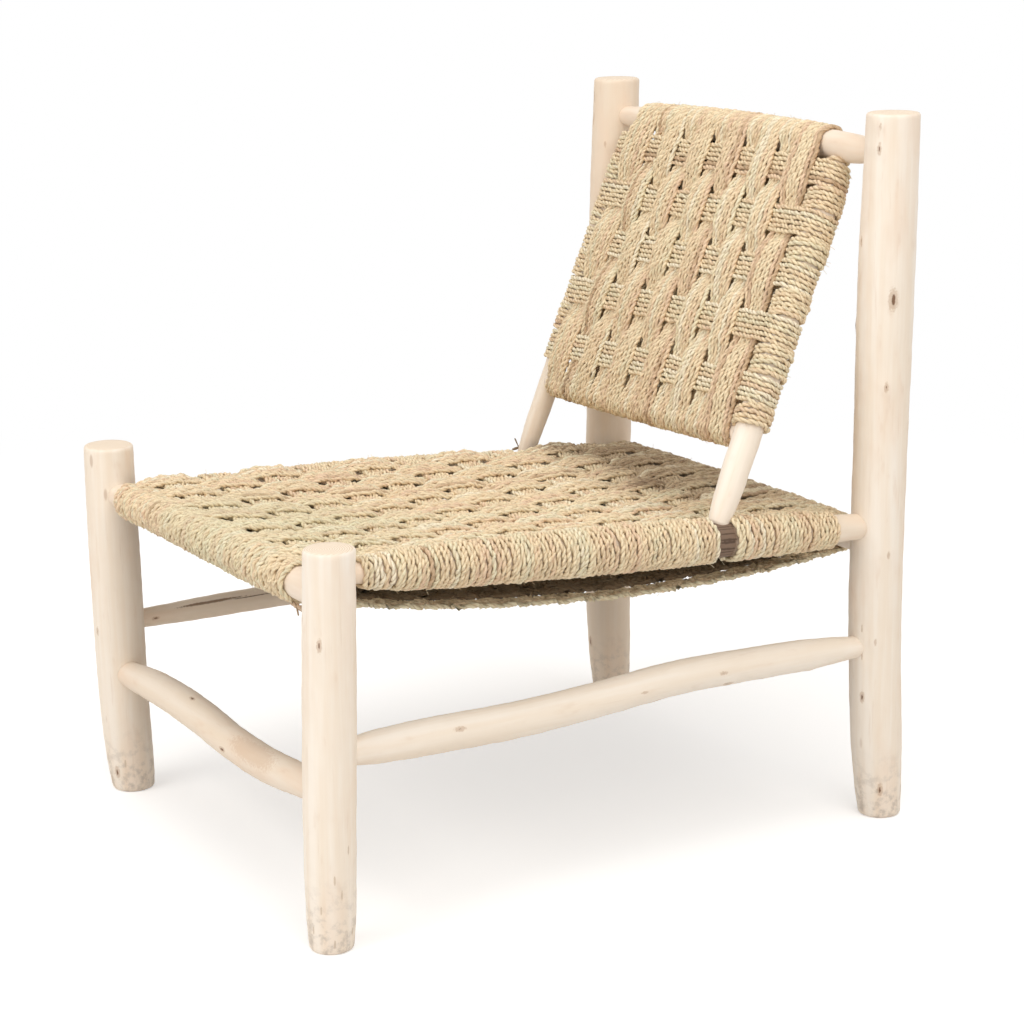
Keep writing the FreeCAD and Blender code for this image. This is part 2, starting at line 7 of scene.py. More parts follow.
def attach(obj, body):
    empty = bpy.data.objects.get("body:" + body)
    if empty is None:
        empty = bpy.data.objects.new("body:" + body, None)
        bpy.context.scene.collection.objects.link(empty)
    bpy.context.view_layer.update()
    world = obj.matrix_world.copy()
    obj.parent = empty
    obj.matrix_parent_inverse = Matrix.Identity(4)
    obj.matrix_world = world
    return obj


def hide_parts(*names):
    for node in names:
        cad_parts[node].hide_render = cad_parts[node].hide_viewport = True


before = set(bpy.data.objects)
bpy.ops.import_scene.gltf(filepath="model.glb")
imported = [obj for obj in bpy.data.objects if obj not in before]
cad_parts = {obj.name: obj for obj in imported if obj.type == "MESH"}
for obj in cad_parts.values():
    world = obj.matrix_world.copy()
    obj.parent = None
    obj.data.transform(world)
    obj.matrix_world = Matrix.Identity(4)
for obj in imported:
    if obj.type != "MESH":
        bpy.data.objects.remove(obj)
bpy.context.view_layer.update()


# The view: a long lens well above the seat, off the sitter's left front corner, as the chair was
# photographed. It leans by less than one degree.
def in_scene(name, data):
    made = bpy.data.objects.new(name, data)
    bpy.context.scene.collection.objects.link(made)
    return made


azimuth, elevation, lean = (math.radians(angle) for angle in (59.3184, 14.2602, -0.7331))
camera_back = Vector((math.sin(azimuth) * math.cos(elevation), -math.cos(azimuth) * math.cos(elevation),
                      math.sin(elevation)))
level_side = Vector((math.cos(azimuth), math.sin(azimuth), 0))
level_up = camera_back.cross(level_side)
camera_side = level_side * math.cos(lean) + level_up * math.sin(lean)
camera_up = level_up * math.cos(lean) - level_side * math.sin(lean)
camera_data = bpy.data.cameras.new("studio_camera")
camera_data.sensor_width, camera_data.lens = 36.0, 90.88
camera = in_scene("studio_camera", camera_data)
turned = Matrix((camera_side, camera_up, camera_back)).transposed().to_4x4()
camera.matrix_world = Matrix.Translation((2.46645, -1.43492, 1.07180)) @ turned
bpy.context.scene.camera = camera
bpy.context.scene.view_settings.view_transform = "Standard"


# The studio: a wide pale floor, a white room, and soft lamps on the left, above and behind the viewer.
# The floor and the room look white to the camera without putting more light on the chair.
def place(tree, kind, feeds=(), **settings):
    """A new node with its settings made, and its sockets given a value or linked to another node."""
    made = tree.nodes.new(kind)
    for name, value in settings.items():
        setattr(made, name, value)
    for socket, value in dict(feeds).items():
        if isinstance(value, bpy.types.NodeSocket):
            tree.links.new(value, made.inputs[socket])
        else:
            made.inputs[socket].default_value = value
    return made


def result(tree, kind, feeds=(), **settings):
    return place(tree, kind, feeds, **settings).outputs[0]


def math_of(tree, operation, a, b=0.0):
    return result(tree, "ShaderNodeMath", {0: a, 1: b}, operation=operation)


def vector_of(tree, operation, a, b=(0, 0, 0), scale=1.0):
    """Vector maths: a vector, or a number where the operation gives one."""
    made = place(tree, "ShaderNodeVectorMath", {0: a, 1: b, 3: scale}, operation=operation)
    return made.outputs[1 if operation in ("LENGTH", "DISTANCE", "DOT_PRODUCT") else 0]


def step_of(tree, value, low, high, to_low=0.0, to_high=1.0):
    return result(tree, "ShaderNodeMapRange", {0: value, 1: low, 2: high, 3: to_low, 4: to_high},
                  interpolation_type="SMOOTHSTEP")


def object_place(tree):
    return place(tree, "ShaderNodeTexCoord").outputs["Object"]


def emptied(made):
    """The node tree of a new material or world, with nothing in it yet."""
    made.use_nodes = True
    made.node_tree.nodes.clear()
    return made.node_tree


def white_backdrop(tree, shown, for_camera):
    """The first shader lights the chair, and the second is what the camera and reflections see."""
    rays = place(tree, "ShaderNodeLightPath").outputs
    glossy = math_of(tree, "MAXIMUM", rays["Is Camera Ray"], rays["Is Glossy Ray"])
    seen = math_of(tree, "MAXIMUM", glossy, rays["Is Transmission Ray"])
    return result(tree, "ShaderNodeMixShader", {0: seen, 1: shown, 2: for_camera})


white = (1, 1, 1, 1)
bpy.context.scene.world = bpy.data.worlds.new("white_room")
room = emptied(bpy.context.scene.world)
soft_room = result(room, "ShaderNodeBackground", {"Color": (1.0, 0.985, 0.965, 1), "Strength": 0.66})
white_room = result(room, "ShaderNodeBackground", {"Color": white, "Strength": 1.0})
place(room, "ShaderNodeOutputWorld", {"Surface": white_backdrop(room, soft_room, white_room)})

floor_mesh = bpy.data.meshes.new("studio_floor")
floor_half, fade_from, fade_to = 14.0, 0.9, 2.2
floor_mesh.from_pydata([(-floor_half, -floor_half, 0), (floor_half, -floor_half, 0),
                        (floor_half, floor_half, 0), (-floor_half, floor_half, 0)], [], [(0, 1, 2, 3)])
studio_floor = in_scene("studio_floor", floor_mesh)
floor_paint = bpy.data.materials.new("pale_floor")
floor = emptied(floor_paint)
matt_white = result(floor, "ShaderNodeBsdfDiffuse", {"Color": (0.80, 0.79, 0.78, 1)})
lift_to_white = result(floor, "ShaderNodeEmission", {"Color": white, "Strength": 0.40})
lifted = result(floor, "ShaderNodeAddShader", {0: matt_white, 1: lift_to_white})
plain_white = result(floor, "ShaderNodeEmission", {"Color": white, "Strength": 1.0})
far_floor = step_of(floor, vector_of(floor, "LENGTH", object_place(floor)), fade_from, fade_to)
faded = result(floor, "ShaderNodeMixShader", {0: far_floor, 1: lifted, 2: plain_white})
place(floor, "ShaderNodeOutputMaterial", {"Surface": white_backdrop(floor, matt_white, faded)})
floor_mesh.materials.append(floor_paint)

lamp_aim = Vector((0, 0, 0.4))
for lamp_name, lamp_place, lamp_size, lamp_power in (
        ("key_lamp", (0.2, -3.6, 2.7), 2.6, 58.0),
        ("top_lamp", (0.9, 0.2, 3.4), 2.4, 25.0),
        ("fill_lamp", (3.0, -0.4, 2.6), 2.4, 30.0)):
    lamp_data = bpy.data.lights.new(lamp_name, "AREA")
    lamp_data.size, lamp_data.energy, lamp_data.color = lamp_size, lamp_power, (1.0, 0.985, 0.96)
    lamp = in_scene(lamp_name, lamp_data)
    lamp.location = lamp_place
    lamp.rotation_euler = (lamp_aim - Vector(lamp_place)).to_track_quat("-Z", "Y").to_euler()


# The four legs: crooked poles of a pale wood, peeled, roughly sanded and left bare, sawn flat at both
# ends. Their feet are whittled thinner, and the bars are driven into holes bored in them.
def along_table(table, share):
    """Value of a (share, value) table, on a smooth curve through its points."""
    stops, values = np.array(table, float).T
    slopes = np.gradient(values, stops)
    share = np.clip(np.asarray(share, float), stops[0], stops[-1])
    low = np.clip(np.searchsorted(stops, share, side="right") - 1, 0, len(stops) - 2)
    width = stops[low + 1] - stops[low]
    t = (share - stops[low]) / width
    return (values[low] * (1 + 2 * t) * (1 - t) ** 2 + slopes[low] * width * t * (1 - t) ** 2
            + values[low + 1] * t * t * (3 - 2 * t) - slopes[low + 1] * width * t * t * (1 - t))


class Pole:
    """A bent, tapering pole from start to end: diameter times girth table, plus bow times bend table."""

    def __init__(self, start, end, diameter, girths, bends=((0, 0), (1, 0)), bow=(0, 0, 0), level=False):
        self.start, self.end = np.array(start, float), np.array(end, float)
        self.diameter, self.girths, self.bends, self.bow = diameter, girths, bends, np.array(bow, float)
        self.length = float(np.linalg.norm(self.end - self.start))
        self.heading = (self.end - self.start) / self.length
        facing = np.array((0.0, 0.0, 1.0)) if level else self.heading
        self.across = np.cross(facing, (0.6, -0.7, 0.39))
        self.across /= np.linalg.norm(self.across)
        self.over = np.cross(facing, self.across)
        self.holders = ()

    def point(self, share):
        share = np.asarray(share, float)[..., None]
        return (self.start + (self.end - self.start) * share
                + self.bow * along_table(self.bends, share[..., 0])[..., None])

    def radius(self, share):
        return self.diameter / 2 * along_table(self.girths, share)

    def share_at(self, axis, place_along):
        return (place_along - self.start[axis]) / (self.end[axis] - self.start[axis])

    def skin(self, share, turn):
        """Point on the bark side at a share of the length and a turn round it, in degrees."""
        turn = math.radians(turn)
        out = self.across * math.cos(turn) + self.over * math.sin(turn)
        return self.point(share) + out * self.radius(share)


front_leg_girths = ((0, 0.83), (0.05, 0.90), (0.12, 0.945), (0.3, 0.98), (0.6, 1.0), (0.85, 0.98), (1, 0.965))
rear_post_girths = ((0, 0.78), (0.03, 0.85), (0.08, 0.915), (0.25, 0.96), (0.5, 0.97), (0.82, 1.0), (1, 0.945))
leg_bends = ((0, 0), (0.1, 0.5), (0.29, 1.0), (0.44, 0.9), (0.6, 0.68), (0.8, 0.42), (1, 0))
leg_bow = np.array((-0.51, -0.86, 0)) * 0.009
legs = {}
for leg_name, foot, top, leg_diameter, leg_girths, bow_share in (
        ("front_leg_left", (0.2767, -0.3545, 0), (0.2777, -0.3447, 0.418), 0.0546, front_leg_girths, 0.15),
        ("front_leg_right", (-0.273, -0.3395, 0), (-0.276, -0.3485, 0.418), 0.059, front_leg_girths, 0.45),
        ("rear_post_left", (0.274, 0.3515, 0), (0.282, 0.3425, 0.8), 0.0615, rear_post_girths, 1.0),
        ("rear_post_right", (-0.276, 0.3415, 0), (-0.274, 0.3515, 0.8), 0.0595, rear_post_girths, 0.8)):
    legs[leg_name] = Pole(foot, top, leg_diameter, leg_girths, leg_bends, leg_bow * bow_share, level=True)


def waves(places, seed, lengths, size):
    """Gentle seeded unevenness: a sum of a few waves across three dimensions, of these lengths."""
    draw = np.random.default_rng(seed)
    total = np.zeros(len(places))
    for length in lengths:
        heading = draw.normal(size=3)
        heading /= np.linalg.norm(heading)
        total += np.sin(places @ heading * 2 * math.pi / length + draw.uniform(0, 2 * math.pi))
    return total * size / len(lengths)


def peeled_pole(name, pole, seed, reach=0.0, chamfer=0.0, sides=32, ring_step=0.004, bumps=()):
    """A pole's mesh, with knife flats, swellings and bumps. reach carries its ends on into what holds it."""
    count, half_chamfer = max(8, int(pole.length / ring_step)), chamfer * 0.35
    shares = np.linspace(0, 1, count + 1)
    if chamfer:
        outer, inner = half_chamfer / pole.length, chamfer / pole.length
        shares = np.r_[0, outer, np.linspace(inner, 1 - inner, count - 1), 1 - outer, 1]
    beyond, inset = np.zeros((2, len(shares)))
    inset[[0, -1]], inset[[1, -2]] = chamfer, half_chamfer
    if reach:
        shares, beyond, inset = np.r_[0, shares, 1], np.r_[-reach, beyond, reach], np.r_[0, inset, 0]
    turns = np.linspace(0, 2 * math.pi, sides, endpoint=False)
    centres = pole.point(shares) + pole.heading * beyond[:, None]
    outward = np.cos(turns)[:, None] * pole.across + np.sin(turns)[:, None] * pole.over
    radii = pole.radius(shares)[:, None] * np.ones(sides)
    places = (centres[:, None] + outward[None] * radii[..., None]).reshape(-1, 3)
    draw = np.random.default_rng(seed)
    flats = sum(np.cos(k * (turns + draw.uniform(0, 6)))[None] * draw.uniform(0.3, 1) for k in (3, 5, 7, 11)) / 4
    drift = waves(places, seed + 1, (0.11, 0.17, 0.26), 0.006).reshape(radii.shape)
    rough = waves(places, seed + 2, (0.013, 0.019, 0.031, 0.045), 0.0004).reshape(radii.shape)
    radii = radii * (1 + 0.006 * flats + drift) + rough - inset[:, None]
    for share, turn, height, spread in bumps:
        far = np.linalg.norm(places - pole.skin(share, turn), axis=1).reshape(radii.shape)
        radii += height * np.exp(-(far / spread) ** 2)
    rings = centres[:, None] + outward[None] * radii[..., None]
    corners, last = rings.reshape(-1, 3), len(shares) - 1
    neighbours = [(k, (k + 1) % sides) for k in range(sides)]
    faces = [(i + a, i + b, i + b + sides, i + a + sides)
             for i in range(0, last * sides, sides) for a, b in neighbours]
    for end in (0, last):
        outer = [end * sides + k for k in range(sides)]
        for share in (0.66, 0.33):
            inner = range(len(corners), len(corners) + sides)
            dip = waves(rings[end], seed + 5, (0.02, 0.035), 0.0003)[:, None] * pole.heading
            corners = np.vstack([corners, centres[end] + (rings[end] - centres[end]) * share + dip])
            cap = [(outer[a], outer[b], inner[b], inner[a]) for a, b in neighbours]
            faces += cap if end else [face[::-1] for face in cap]
            outer = inner
        cap = [(outer[a], outer[b], len(corners)) for a, b in neighbours]
        faces += cap if end else [face[::-1] for face in cap]
        corners = np.vstack([corners, centres[end]])
    mesh = bpy.data.meshes.new(name)
    mesh.from_pydata(corners.tolist(), [], faces)
    mesh.polygons.foreach_set("use_smooth", [True] * len(mesh.polygons))
    own = (corners - pole.start) @ np.stack([pole.across, pole.over, pole.heading], 1)
    mesh.attributes.new("grain_place", "FLOAT_VECTOR", "POINT").data.foreach_set("vector", own.ravel())
    cut = np.zeros(len(corners))
    if chamfer:
        cut[:sides] = cut[last * sides:] = 1
    mesh.attributes.new("sawn_end", "FLOAT", "POINT").data.foreach_set("value", cut)
    return in_scene(name, mesh)


# Sanded bare wood: cream, with long soft streaks, pinkish patches where the inner bark stayed, pin knots,
# rings on the sawn ends, and grey soil near the floor.
def sockets(tree, ins, outs):
    """Named inputs and outputs of a node group. It gives back the inputs."""
    for name, kind, value in ins:
        made = tree.interface.new_socket(name, in_out="INPUT", socket_type="NodeSocket" + kind)
        if value is not None:
            made.default_value = value
    for name, kind in outs:
        tree.interface.new_socket(name, in_out="OUTPUT", socket_type="NodeSocket" + kind)
    return place(tree, "NodeGroupInput").outputs


def times(tree, a, b):
    return math_of(tree, "MULTIPLY", a, b)


def plus(tree, a, b):
    return math_of(tree, "ADD", a, b)


def blend_of(tree, factor, a, b):
    return place(tree, "ShaderNodeMix", {0: factor, 6: a, 7: b}, data_type="RGBA").outputs[2]


def noise_of(tree, vector, scale, detail=3.0, roughness=0.55):
    return result(tree, "ShaderNodeTexNoise", {"Vector": vector, "Scale": scale, "Detail": detail,
                                               "Roughness": roughness})


def attribute_of(tree, name, output="Fac"):
    return place(tree, "ShaderNodeAttribute", attribute_name=name).outputs[output]


wood = bpy.data.node_groups.new("sanded_bare_wood", "ShaderNodeTree")
wood_in = sockets(wood, [("Grain Place", "Vector", None), ("Sawn End", "Float", 0.0), ("Pink", "Float", 0.5),
                         ("Tan And Shade", "Float", 0.0), ("Soil", "Float", 0.0)],
                  [("Color", "Color"), ("Roughness", "Float"), ("Height", "Float")])
long_place = vector_of(wood, "MULTIPLY", wood_in["Grain Place"], (1, 1, 0.045))
half_place = vector_of(wood, "MULTIPLY", wood_in["Grain Place"], (1, 1, 0.3))
streaks = noise_of(wood, long_place, 260, 4)
broad_streaks = noise_of(wood, long_place, 75, 3)
patches = noise_of(wood, half_place, 24, 3, 0.6)
small_patches = noise_of(wood, half_place, 95, 2, 0.6)
pin_cells = place(wood, "ShaderNodeTexVoronoi", {"Vector": half_place, "Scale": 62, "Randomness": 1.0}).outputs
pin_chance = step_of(wood, result(wood, "ShaderNodeSeparateColor", {0: pin_cells[1]}), 0.90, 0.91)
pins = times(wood, step_of(wood, pin_cells[0], 0.10, 0.19, 1, 0), pin_chance)
ring_reach = vector_of(wood, "LENGTH", vector_of(wood, "MULTIPLY", wood_in["Grain Place"], (1, 1, 0)))
ring_wave = math_of(wood, "SINE", plus(wood, times(wood, ring_reach, 2600.0), times(wood, patches, 14.0)))
ring_color = blend_of(wood, step_of(wood, ring_wave, -0.4, 1.0), (0.88, 0.76, 0.62, 1), (0.74, 0.58, 0.43, 1))
soil_patches = step_of(wood, noise_of(wood, wood_in["Grain Place"], 85, 4, 0.65), 0.45, 0.68)
wood_color = blend_of(wood, step_of(wood, broad_streaks, 0.32, 0.70), (0.92, 0.835, 0.735, 1),
                      (0.87, 0.755, 0.625, 1))
# The first tint is a darker tan set for each pole: partly the wood's own tone, partly painted shade on poles that
# lie in shade.
for mask, tint in ((wood_in["Tan And Shade"], (0.74, 0.565, 0.39, 1)),
                   (times(wood, step_of(wood, patches, 0.44, 0.72), wood_in["Pink"]), (0.83, 0.65, 0.50, 1)),
                   (times(wood, step_of(wood, streaks, 0.60, 0.80), 0.22), (0.60, 0.42, 0.28, 1)),
                   (times(wood, step_of(wood, small_patches, 0.60, 0.78), 0.22), (0.68, 0.50, 0.36, 1)),
                   (times(wood, pins, 0.45), (0.42, 0.25, 0.15, 1)),
                   (wood_in["Sawn End"], ring_color),
                   (times(wood, wood_in["Soil"], soil_patches), (0.47, 0.40, 0.34, 1))):
    wood_color = blend_of(wood, mask, wood_color, tint)
wood_height = plus(wood, times(wood, streaks, 0.7), times(wood, small_patches, 0.5))
place(wood, "NodeGroupOutput", {"Color": wood_color, "Height": wood_height,
                                "Roughness": step_of(wood, patches, 0.3, 0.7, 0.55, 0.72)})


# Marks in the wood: knots, drying cracks, knife scratches and the dark rims of the bored holes. Each is
# long along one line, as wide as it is given, with a ragged edge.
def centred(tree, value, size):
    """A value that lies about a half, made to lie about nought."""
    return times(tree, math_of(tree, "SUBTRACT", value, 0.5), size)


mark = bpy.data.node_groups.new("mark_in_wood", "ShaderNodeTree")
mark_in = sockets(mark, [("Place", "Vector", None), ("Heading", "Vector", (0, 0, 1)), ("Reach", "Float", 0.01),
                         ("Width", "Float", 0.003), ("Ragged", "Float", 0.3)], [("Mask", "Float")])
mark_place = object_place(mark)
away = vector_of(mark, "SUBTRACT", mark_place, mark_in["Place"])
lengthwise = vector_of(mark, "DOT_PRODUCT", away, mark_in["Heading"])
straight = vector_of(mark, "SCALE", mark_in["Heading"], scale=lengthwise)
sideways = vector_of(mark, "LENGTH", vector_of(mark, "SUBTRACT", away, straight))
wide_part = math_of(mark, "POWER", math_of(mark, "DIVIDE", sideways, mark_in["Width"]), 2.0)
long_share = math_of(mark, "ABSOLUTE", math_of(mark, "DIVIDE", lengthwise, mark_in["Reach"]))
spread_out = math_of(mark, "SQRT", plus(mark, wide_part, math_of(mark, "POWER", long_share, 2.0)))
ragged = centred(mark, noise_of(mark, mark_place, 420, 2), mark_in["Ragged"])
place(mark, "NodeGroupOutput", {"Mask": step_of(mark, plus(mark, spread_out, ragged), 0.62, 1.05, 1, 0)})


def mark_wood(material, marks):
    """Add marks to a pole's wood. Each is (place, heading, reach, width, raggedness, colour, strength)."""
    tree = material.node_tree
    color_in, height_in = tree.nodes["Principled BSDF"].inputs["Base Color"], tree.nodes["Bump"].inputs["Height"]
    color, height = color_in.links[0].from_socket, height_in.links[0].from_socket
    for spot, heading, reach, width, rag, tint, strength in marks:
        mask = result(tree, "ShaderNodeGroup", {"Place": tuple(spot), "Heading": tuple(heading), "Reach": reach,
                                                "Width": width, "Ragged": rag}, node_tree=mark)
        dark = times(tree, mask, strength)
        color = blend_of(tree, dark, color, tint)
        height = math_of(tree, "SUBTRACT", height, dark)
    tree.links.new(color, color_in)
    tree.links.new(height, height_in)


def pole_wood(name, pink, marks, soil=False, tan_and_shade=0.0):
    """The wood of one pole, with its marks and, on a leg, grey soil near the floor."""
    material = bpy.data.materials.new(name)
    tree = emptied(material)
    feeds = {"Grain Place": attribute_of(tree, "grain_place", "Vector"), "Pink": pink, "Tan And Shade": tan_and_shade,
             "Sawn End": attribute_of(tree, "sawn_end")}
    if soil:
        height = place(tree, "ShaderNodeSeparateXYZ", {0: object_place(tree)}).outputs[2]
        feeds["Soil"] = step_of(tree, height, 0.0, 0.10, 0.62, 0.0)
    bare = place(tree, "ShaderNodeGroup", feeds, node_tree=wood).outputs
    bump = result(tree, "ShaderNodeBump", {"Strength": 0.35, "Distance": 0.0007, "Height": bare["Height"]})
    shader = result(tree, "ShaderNodeBsdfPrincipled", {
        "Base Color": bare["Color"], "Roughness": bare["Roughness"], "Normal": bump, "Specular IOR Level": 0.28})
    place(tree, "ShaderNodeOutputMaterial", {"Surface": shader})
    mark_wood(material, marks)
    return material


dark_knot, brown_knot = (0.16, 0.075, 0.035, 1), (0.42, 0.235, 0.12, 1)
crack_dark, scratch_tan = (0.13, 0.075, 0.045, 1), (0.60, 0.46, 0.34, 1)


def knot(pole, share, turn, width):
    """A knot: a brown halo drawn out along the pole, with a dark heart."""
    spot = pole.skin(share, turn)
    return [(spot, pole.heading, width * 5.0, width * 2.1, 0.9, brown_knot, 0.42),
            (spot, pole.heading, width * 2.5, width * 0.85, 0.7, dark_knot, 0.9)]


def crack(pole, share, turn, reach, width=0.0007, tint=crack_dark, strength=0.8):
    return [(pole.skin(share, turn), pole.heading, reach, width, 0.8, tint, strength)]


# Each leg: seed, pink, tan, knots and scratches. The tan is partly painted shade, most of it on the right rear
# post.
leg_looks = {
    "front_leg_left": (11, 0.42, 0.0, ((0.780, 272, 0.0017),),
                       ((0.267, 336), (0.196, 302), (0.118, 270), (0.062, 246), (0.050, 352), (0.030, 300),
                        (0.155, 318))),
    "front_leg_right": (23, 0.55, 0.08, ((0.062, 260, 0.0020), (0.477, 242, 0.0013)),
                        ((0.035, 232), (0.09, 285))),
    "rear_post_left": (37, 0.50, 0.0, ((0.984, 254, 0.0010), (0.954, 254, 0.0016), (0.828, 216, 0.0013),
                                       (0.752, 296, 0.0030), (0.711, 196, 0.0020), (0.631, 288, 0.0014),
                                       (0.393, 306, 0.0011), (0.267, 282, 0.0010), (0.184, 252, 0.0017),
                                       (0.046, 286, 0.0019)), ((0.285, 252), (0.244, 252))),
    "rear_post_right": (41, 0.55, 0.45, ((0.086, 226, 0.0018), (0.90, 262, 0.0010)), ()),
}
leg_woods = {}
for leg_name, pole in legs.items():
    seed, pink, tan_and_shade, knots, scratches = leg_looks[leg_name]
    marks = [ring for share, turn, width in knots for ring in knot(pole, share, turn, width)]
    for share, turn in scratches:
        marks += crack(pole, share, turn, 0.006, 0.0012, scratch_tan, 0.7)
    leg = peeled_pole("peeled_" + leg_name, pole, seed, chamfer=0.003, sides=44, ring_step=0.0035,
                      bumps=[(share, turn, 0.0009, 0.008) for share, turn, width in knots])
    leg_woods[leg_name] = pole_wood("wood_of_" + leg_name, pink, marks, soil=True, tan_and_shade=tan_and_shade)
    leg.data.materials.append(leg_woods[leg_name])
    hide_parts(leg_name)
    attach(leg, "root")


# The four seat rails: nearly straight poles, whittled to a round tenon at each end and driven into the legs.
# The left side rail sits above the front and rear rails and the right one below them, and rope hides nearly
# all of both.
def between(pole_a, share_a, pole_b, share_b, diameter, girths, *crook):
    """A bar from the skin of one pole to the skin of another. A crook is a bend table and a bow."""
    centre_a, centre_b = pole_a.point(share_a), pole_b.point(share_b)
    heading = (centre_b - centre_a) / np.linalg.norm(centre_b - centre_a)
    start = centre_a + heading * pole_a.radius(share_a)
    end = centre_b - heading * pole_b.radius(share_b)
    return Pole(start, end, diameter, girths, *crook)


def between_legs(name_a, height_a, name_b, height_b, *shape):
    """A bar from one leg to another, driven in at these heights."""
    leg_a, leg_b = legs[name_a], legs[name_b]
    bar = between(leg_a, height_a / leg_a.end[2], leg_b, height_b / leg_b.end[2], *shape)
    bar.holders = (name_a, name_b)
    return bar


def fit_bar(name, pole, seed, pink=0.5, tan_and_shade=0.0, reach=0.009, marks=(), **shape):
    """The bar's mesh and wood, and the dark rims of the holes in the legs that hold it."""
    bar = peeled_pole("peeled_" + name, pole, seed, reach, **shape)
    bar.data.materials.append(pole_wood("wood_of_" + name, pink, marks, tan_and_shade=tan_and_shade))
    for leg_name, end, share in zip(pole.holders, (pole.start, pole.end), (0.0, 1.0)):
        rim = float(pole.radius(share)) + 0.0011
        mark_wood(leg_woods[leg_name], [(end, pole.heading, 0.03, rim, 0.12, crack_dark, 0.5)])
    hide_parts(name)
    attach(bar, "root")


front_rail = between_legs("front_leg_right", 0.362, "front_leg_left", 0.369, 0.036,
                          ((0, 0.76), (0.12, 0.82), (0.3, 0.88), (0.5, 0.95), (0.75, 1), (1, 0.93)))
rear_rail = between_legs("rear_post_right", 0.321, "rear_post_left", 0.320, 0.036,
                         ((0, 0.86), (0.12, 0.93), (0.35, 1), (0.65, 1), (0.88, 0.95), (1, 0.88)))
side_rail_girths = ((0, 0.5), (0.08, 0.76), (0.25, 0.93), (0.5, 1), (0.75, 0.93), (0.93, 0.78), (1, 0.70))
arch = ((0, 0), (0.25, 0.75), (0.5, 1), (0.75, 0.75), (1, 0))
side_rails = {
    "left": between_legs("front_leg_left", 0.390, "rear_post_left", 0.342, 0.041, side_rail_girths),
    "right": between_legs("front_leg_right", 0.341, "rear_post_right", 0.300, 0.041, side_rail_girths,
                          arch, (0, 0, 0.010)),
}
# The tan of the rails, stretchers and uprights is partly painted shade, on those that lie in shade.
fit_bar("front_seat_rail", front_rail, 51, tan_and_shade=0.25)
fit_bar("rear_seat_rail", rear_rail, 53)
rail, gap_y = side_rails["left"], 0.1215
gap_share = rail.share_at(1, gap_y)
bark_left_on = [(rail.point(gap_share), rail.heading, 0.0165, 0.09, 0.3, (0.19, 0.12, 0.08, 1), 0.97)]
bark_left_on += [(rail.skin(gap_share, turn + 4 * math.sin(turn)), rail.heading, 0.014,
                  0.0012 + 0.0006 * math.sin(turn * 3), 1.4, (0.075, 0.045, 0.03, 1), 0.85)
                 for turn in range(0, 360, 15)]
for side, seed, marks in (("left", 55, bark_left_on), ("right", 57, [])):
    fit_bar("side_seat_rail_" + side, side_rails[side], seed, pink=0.7, tan_and_shade=0.3, marks=marks)


# Three stretchers: thinner, more crooked branches, with knots and long drying cracks, driven into the legs
# about two hands' breadths above the floor. There is none at the rear.
stretcher_left = between_legs(
    "front_leg_left", 0.204, "rear_post_left", 0.204, 0.0365,
    ((0, 0.82), (0.03, 0.92), (0.1, 1.03), (0.2, 1.06), (0.4, 1.03), (0.6, 1.02), (0.75, 1.0), (0.9, 0.93),
     (1, 0.68)),
    ((0, 0), (0.15, -0.15), (0.3, -0.4), (0.45, 0.1), (0.62, 1.0), (0.8, 0.65), (1, 0)), (0, 0, 0.007))
stretcher_right = between_legs(
    "front_leg_right", 0.204, "rear_post_right", 0.204, 0.028,
    ((0, 0.8), (0.1, 0.92), (0.3, 1.0), (0.6, 0.97), (0.85, 0.94), (0.95, 0.78), (1, 0.5)))
stretcher_front = between_legs(
    "front_leg_right", 0.146, "front_leg_left", 0.163, 0.038,
    ((0, 0.8), (0.1, 0.92), (0.3, 1.0), (0.6, 0.97), (0.85, 0.94), (0.95, 0.86), (1, 0.8)),
    ((0, 0), (0.2, 0.6), (0.4, 0.2), (0.6, -1.0), (0.78, -1.15), (0.92, -0.4), (1, 0)), (0, 0, 0.007))
stretcher_knots = ((0.178, 278, 0.0016), (0.533, 300, 0.0010), (0.695, 298, 0.0013), (0.709, 344, 0.0017),
                   (0.894, 10, 0.0013))
fit_bar("side_stretcher_left", stretcher_left, 61, pink=0.15, sides=44,
        marks=[ring for share, turn, width in stretcher_knots for ring in knot(stretcher_left, share, turn, width)],
        bumps=[(share, turn, 0.0012, 0.009) for share, turn, width in stretcher_knots])
fit_bar("side_stretcher_right", stretcher_right, 63, pink=0.8, tan_and_shade=0.35, sides=44,
        marks=crack(stretcher_right, 0.13, 262, 0.055, 0.0020, (0.20, 0.11, 0.06, 1))
        + crack(stretcher_right, 0.22, 270, 0.030, 0.0008) + knot(stretcher_right, 0.02, 300, 0.0012))
brown_patch = (stretcher_front.skin(0.74, 250), stretcher_front.heading, 0.060, 0.015, 1.1,
               (0.66, 0.46, 0.31, 1), 0.5)
fit_bar("front_stretcher", stretcher_front, 65, pink=0.75, tan_and_shade=0.3, sides=44,
        marks=knot(stretcher_front, 0.391, 224, 0.0014) + knot(stretcher_front, 0.605, 302, 0.0017) + [brown_patch])


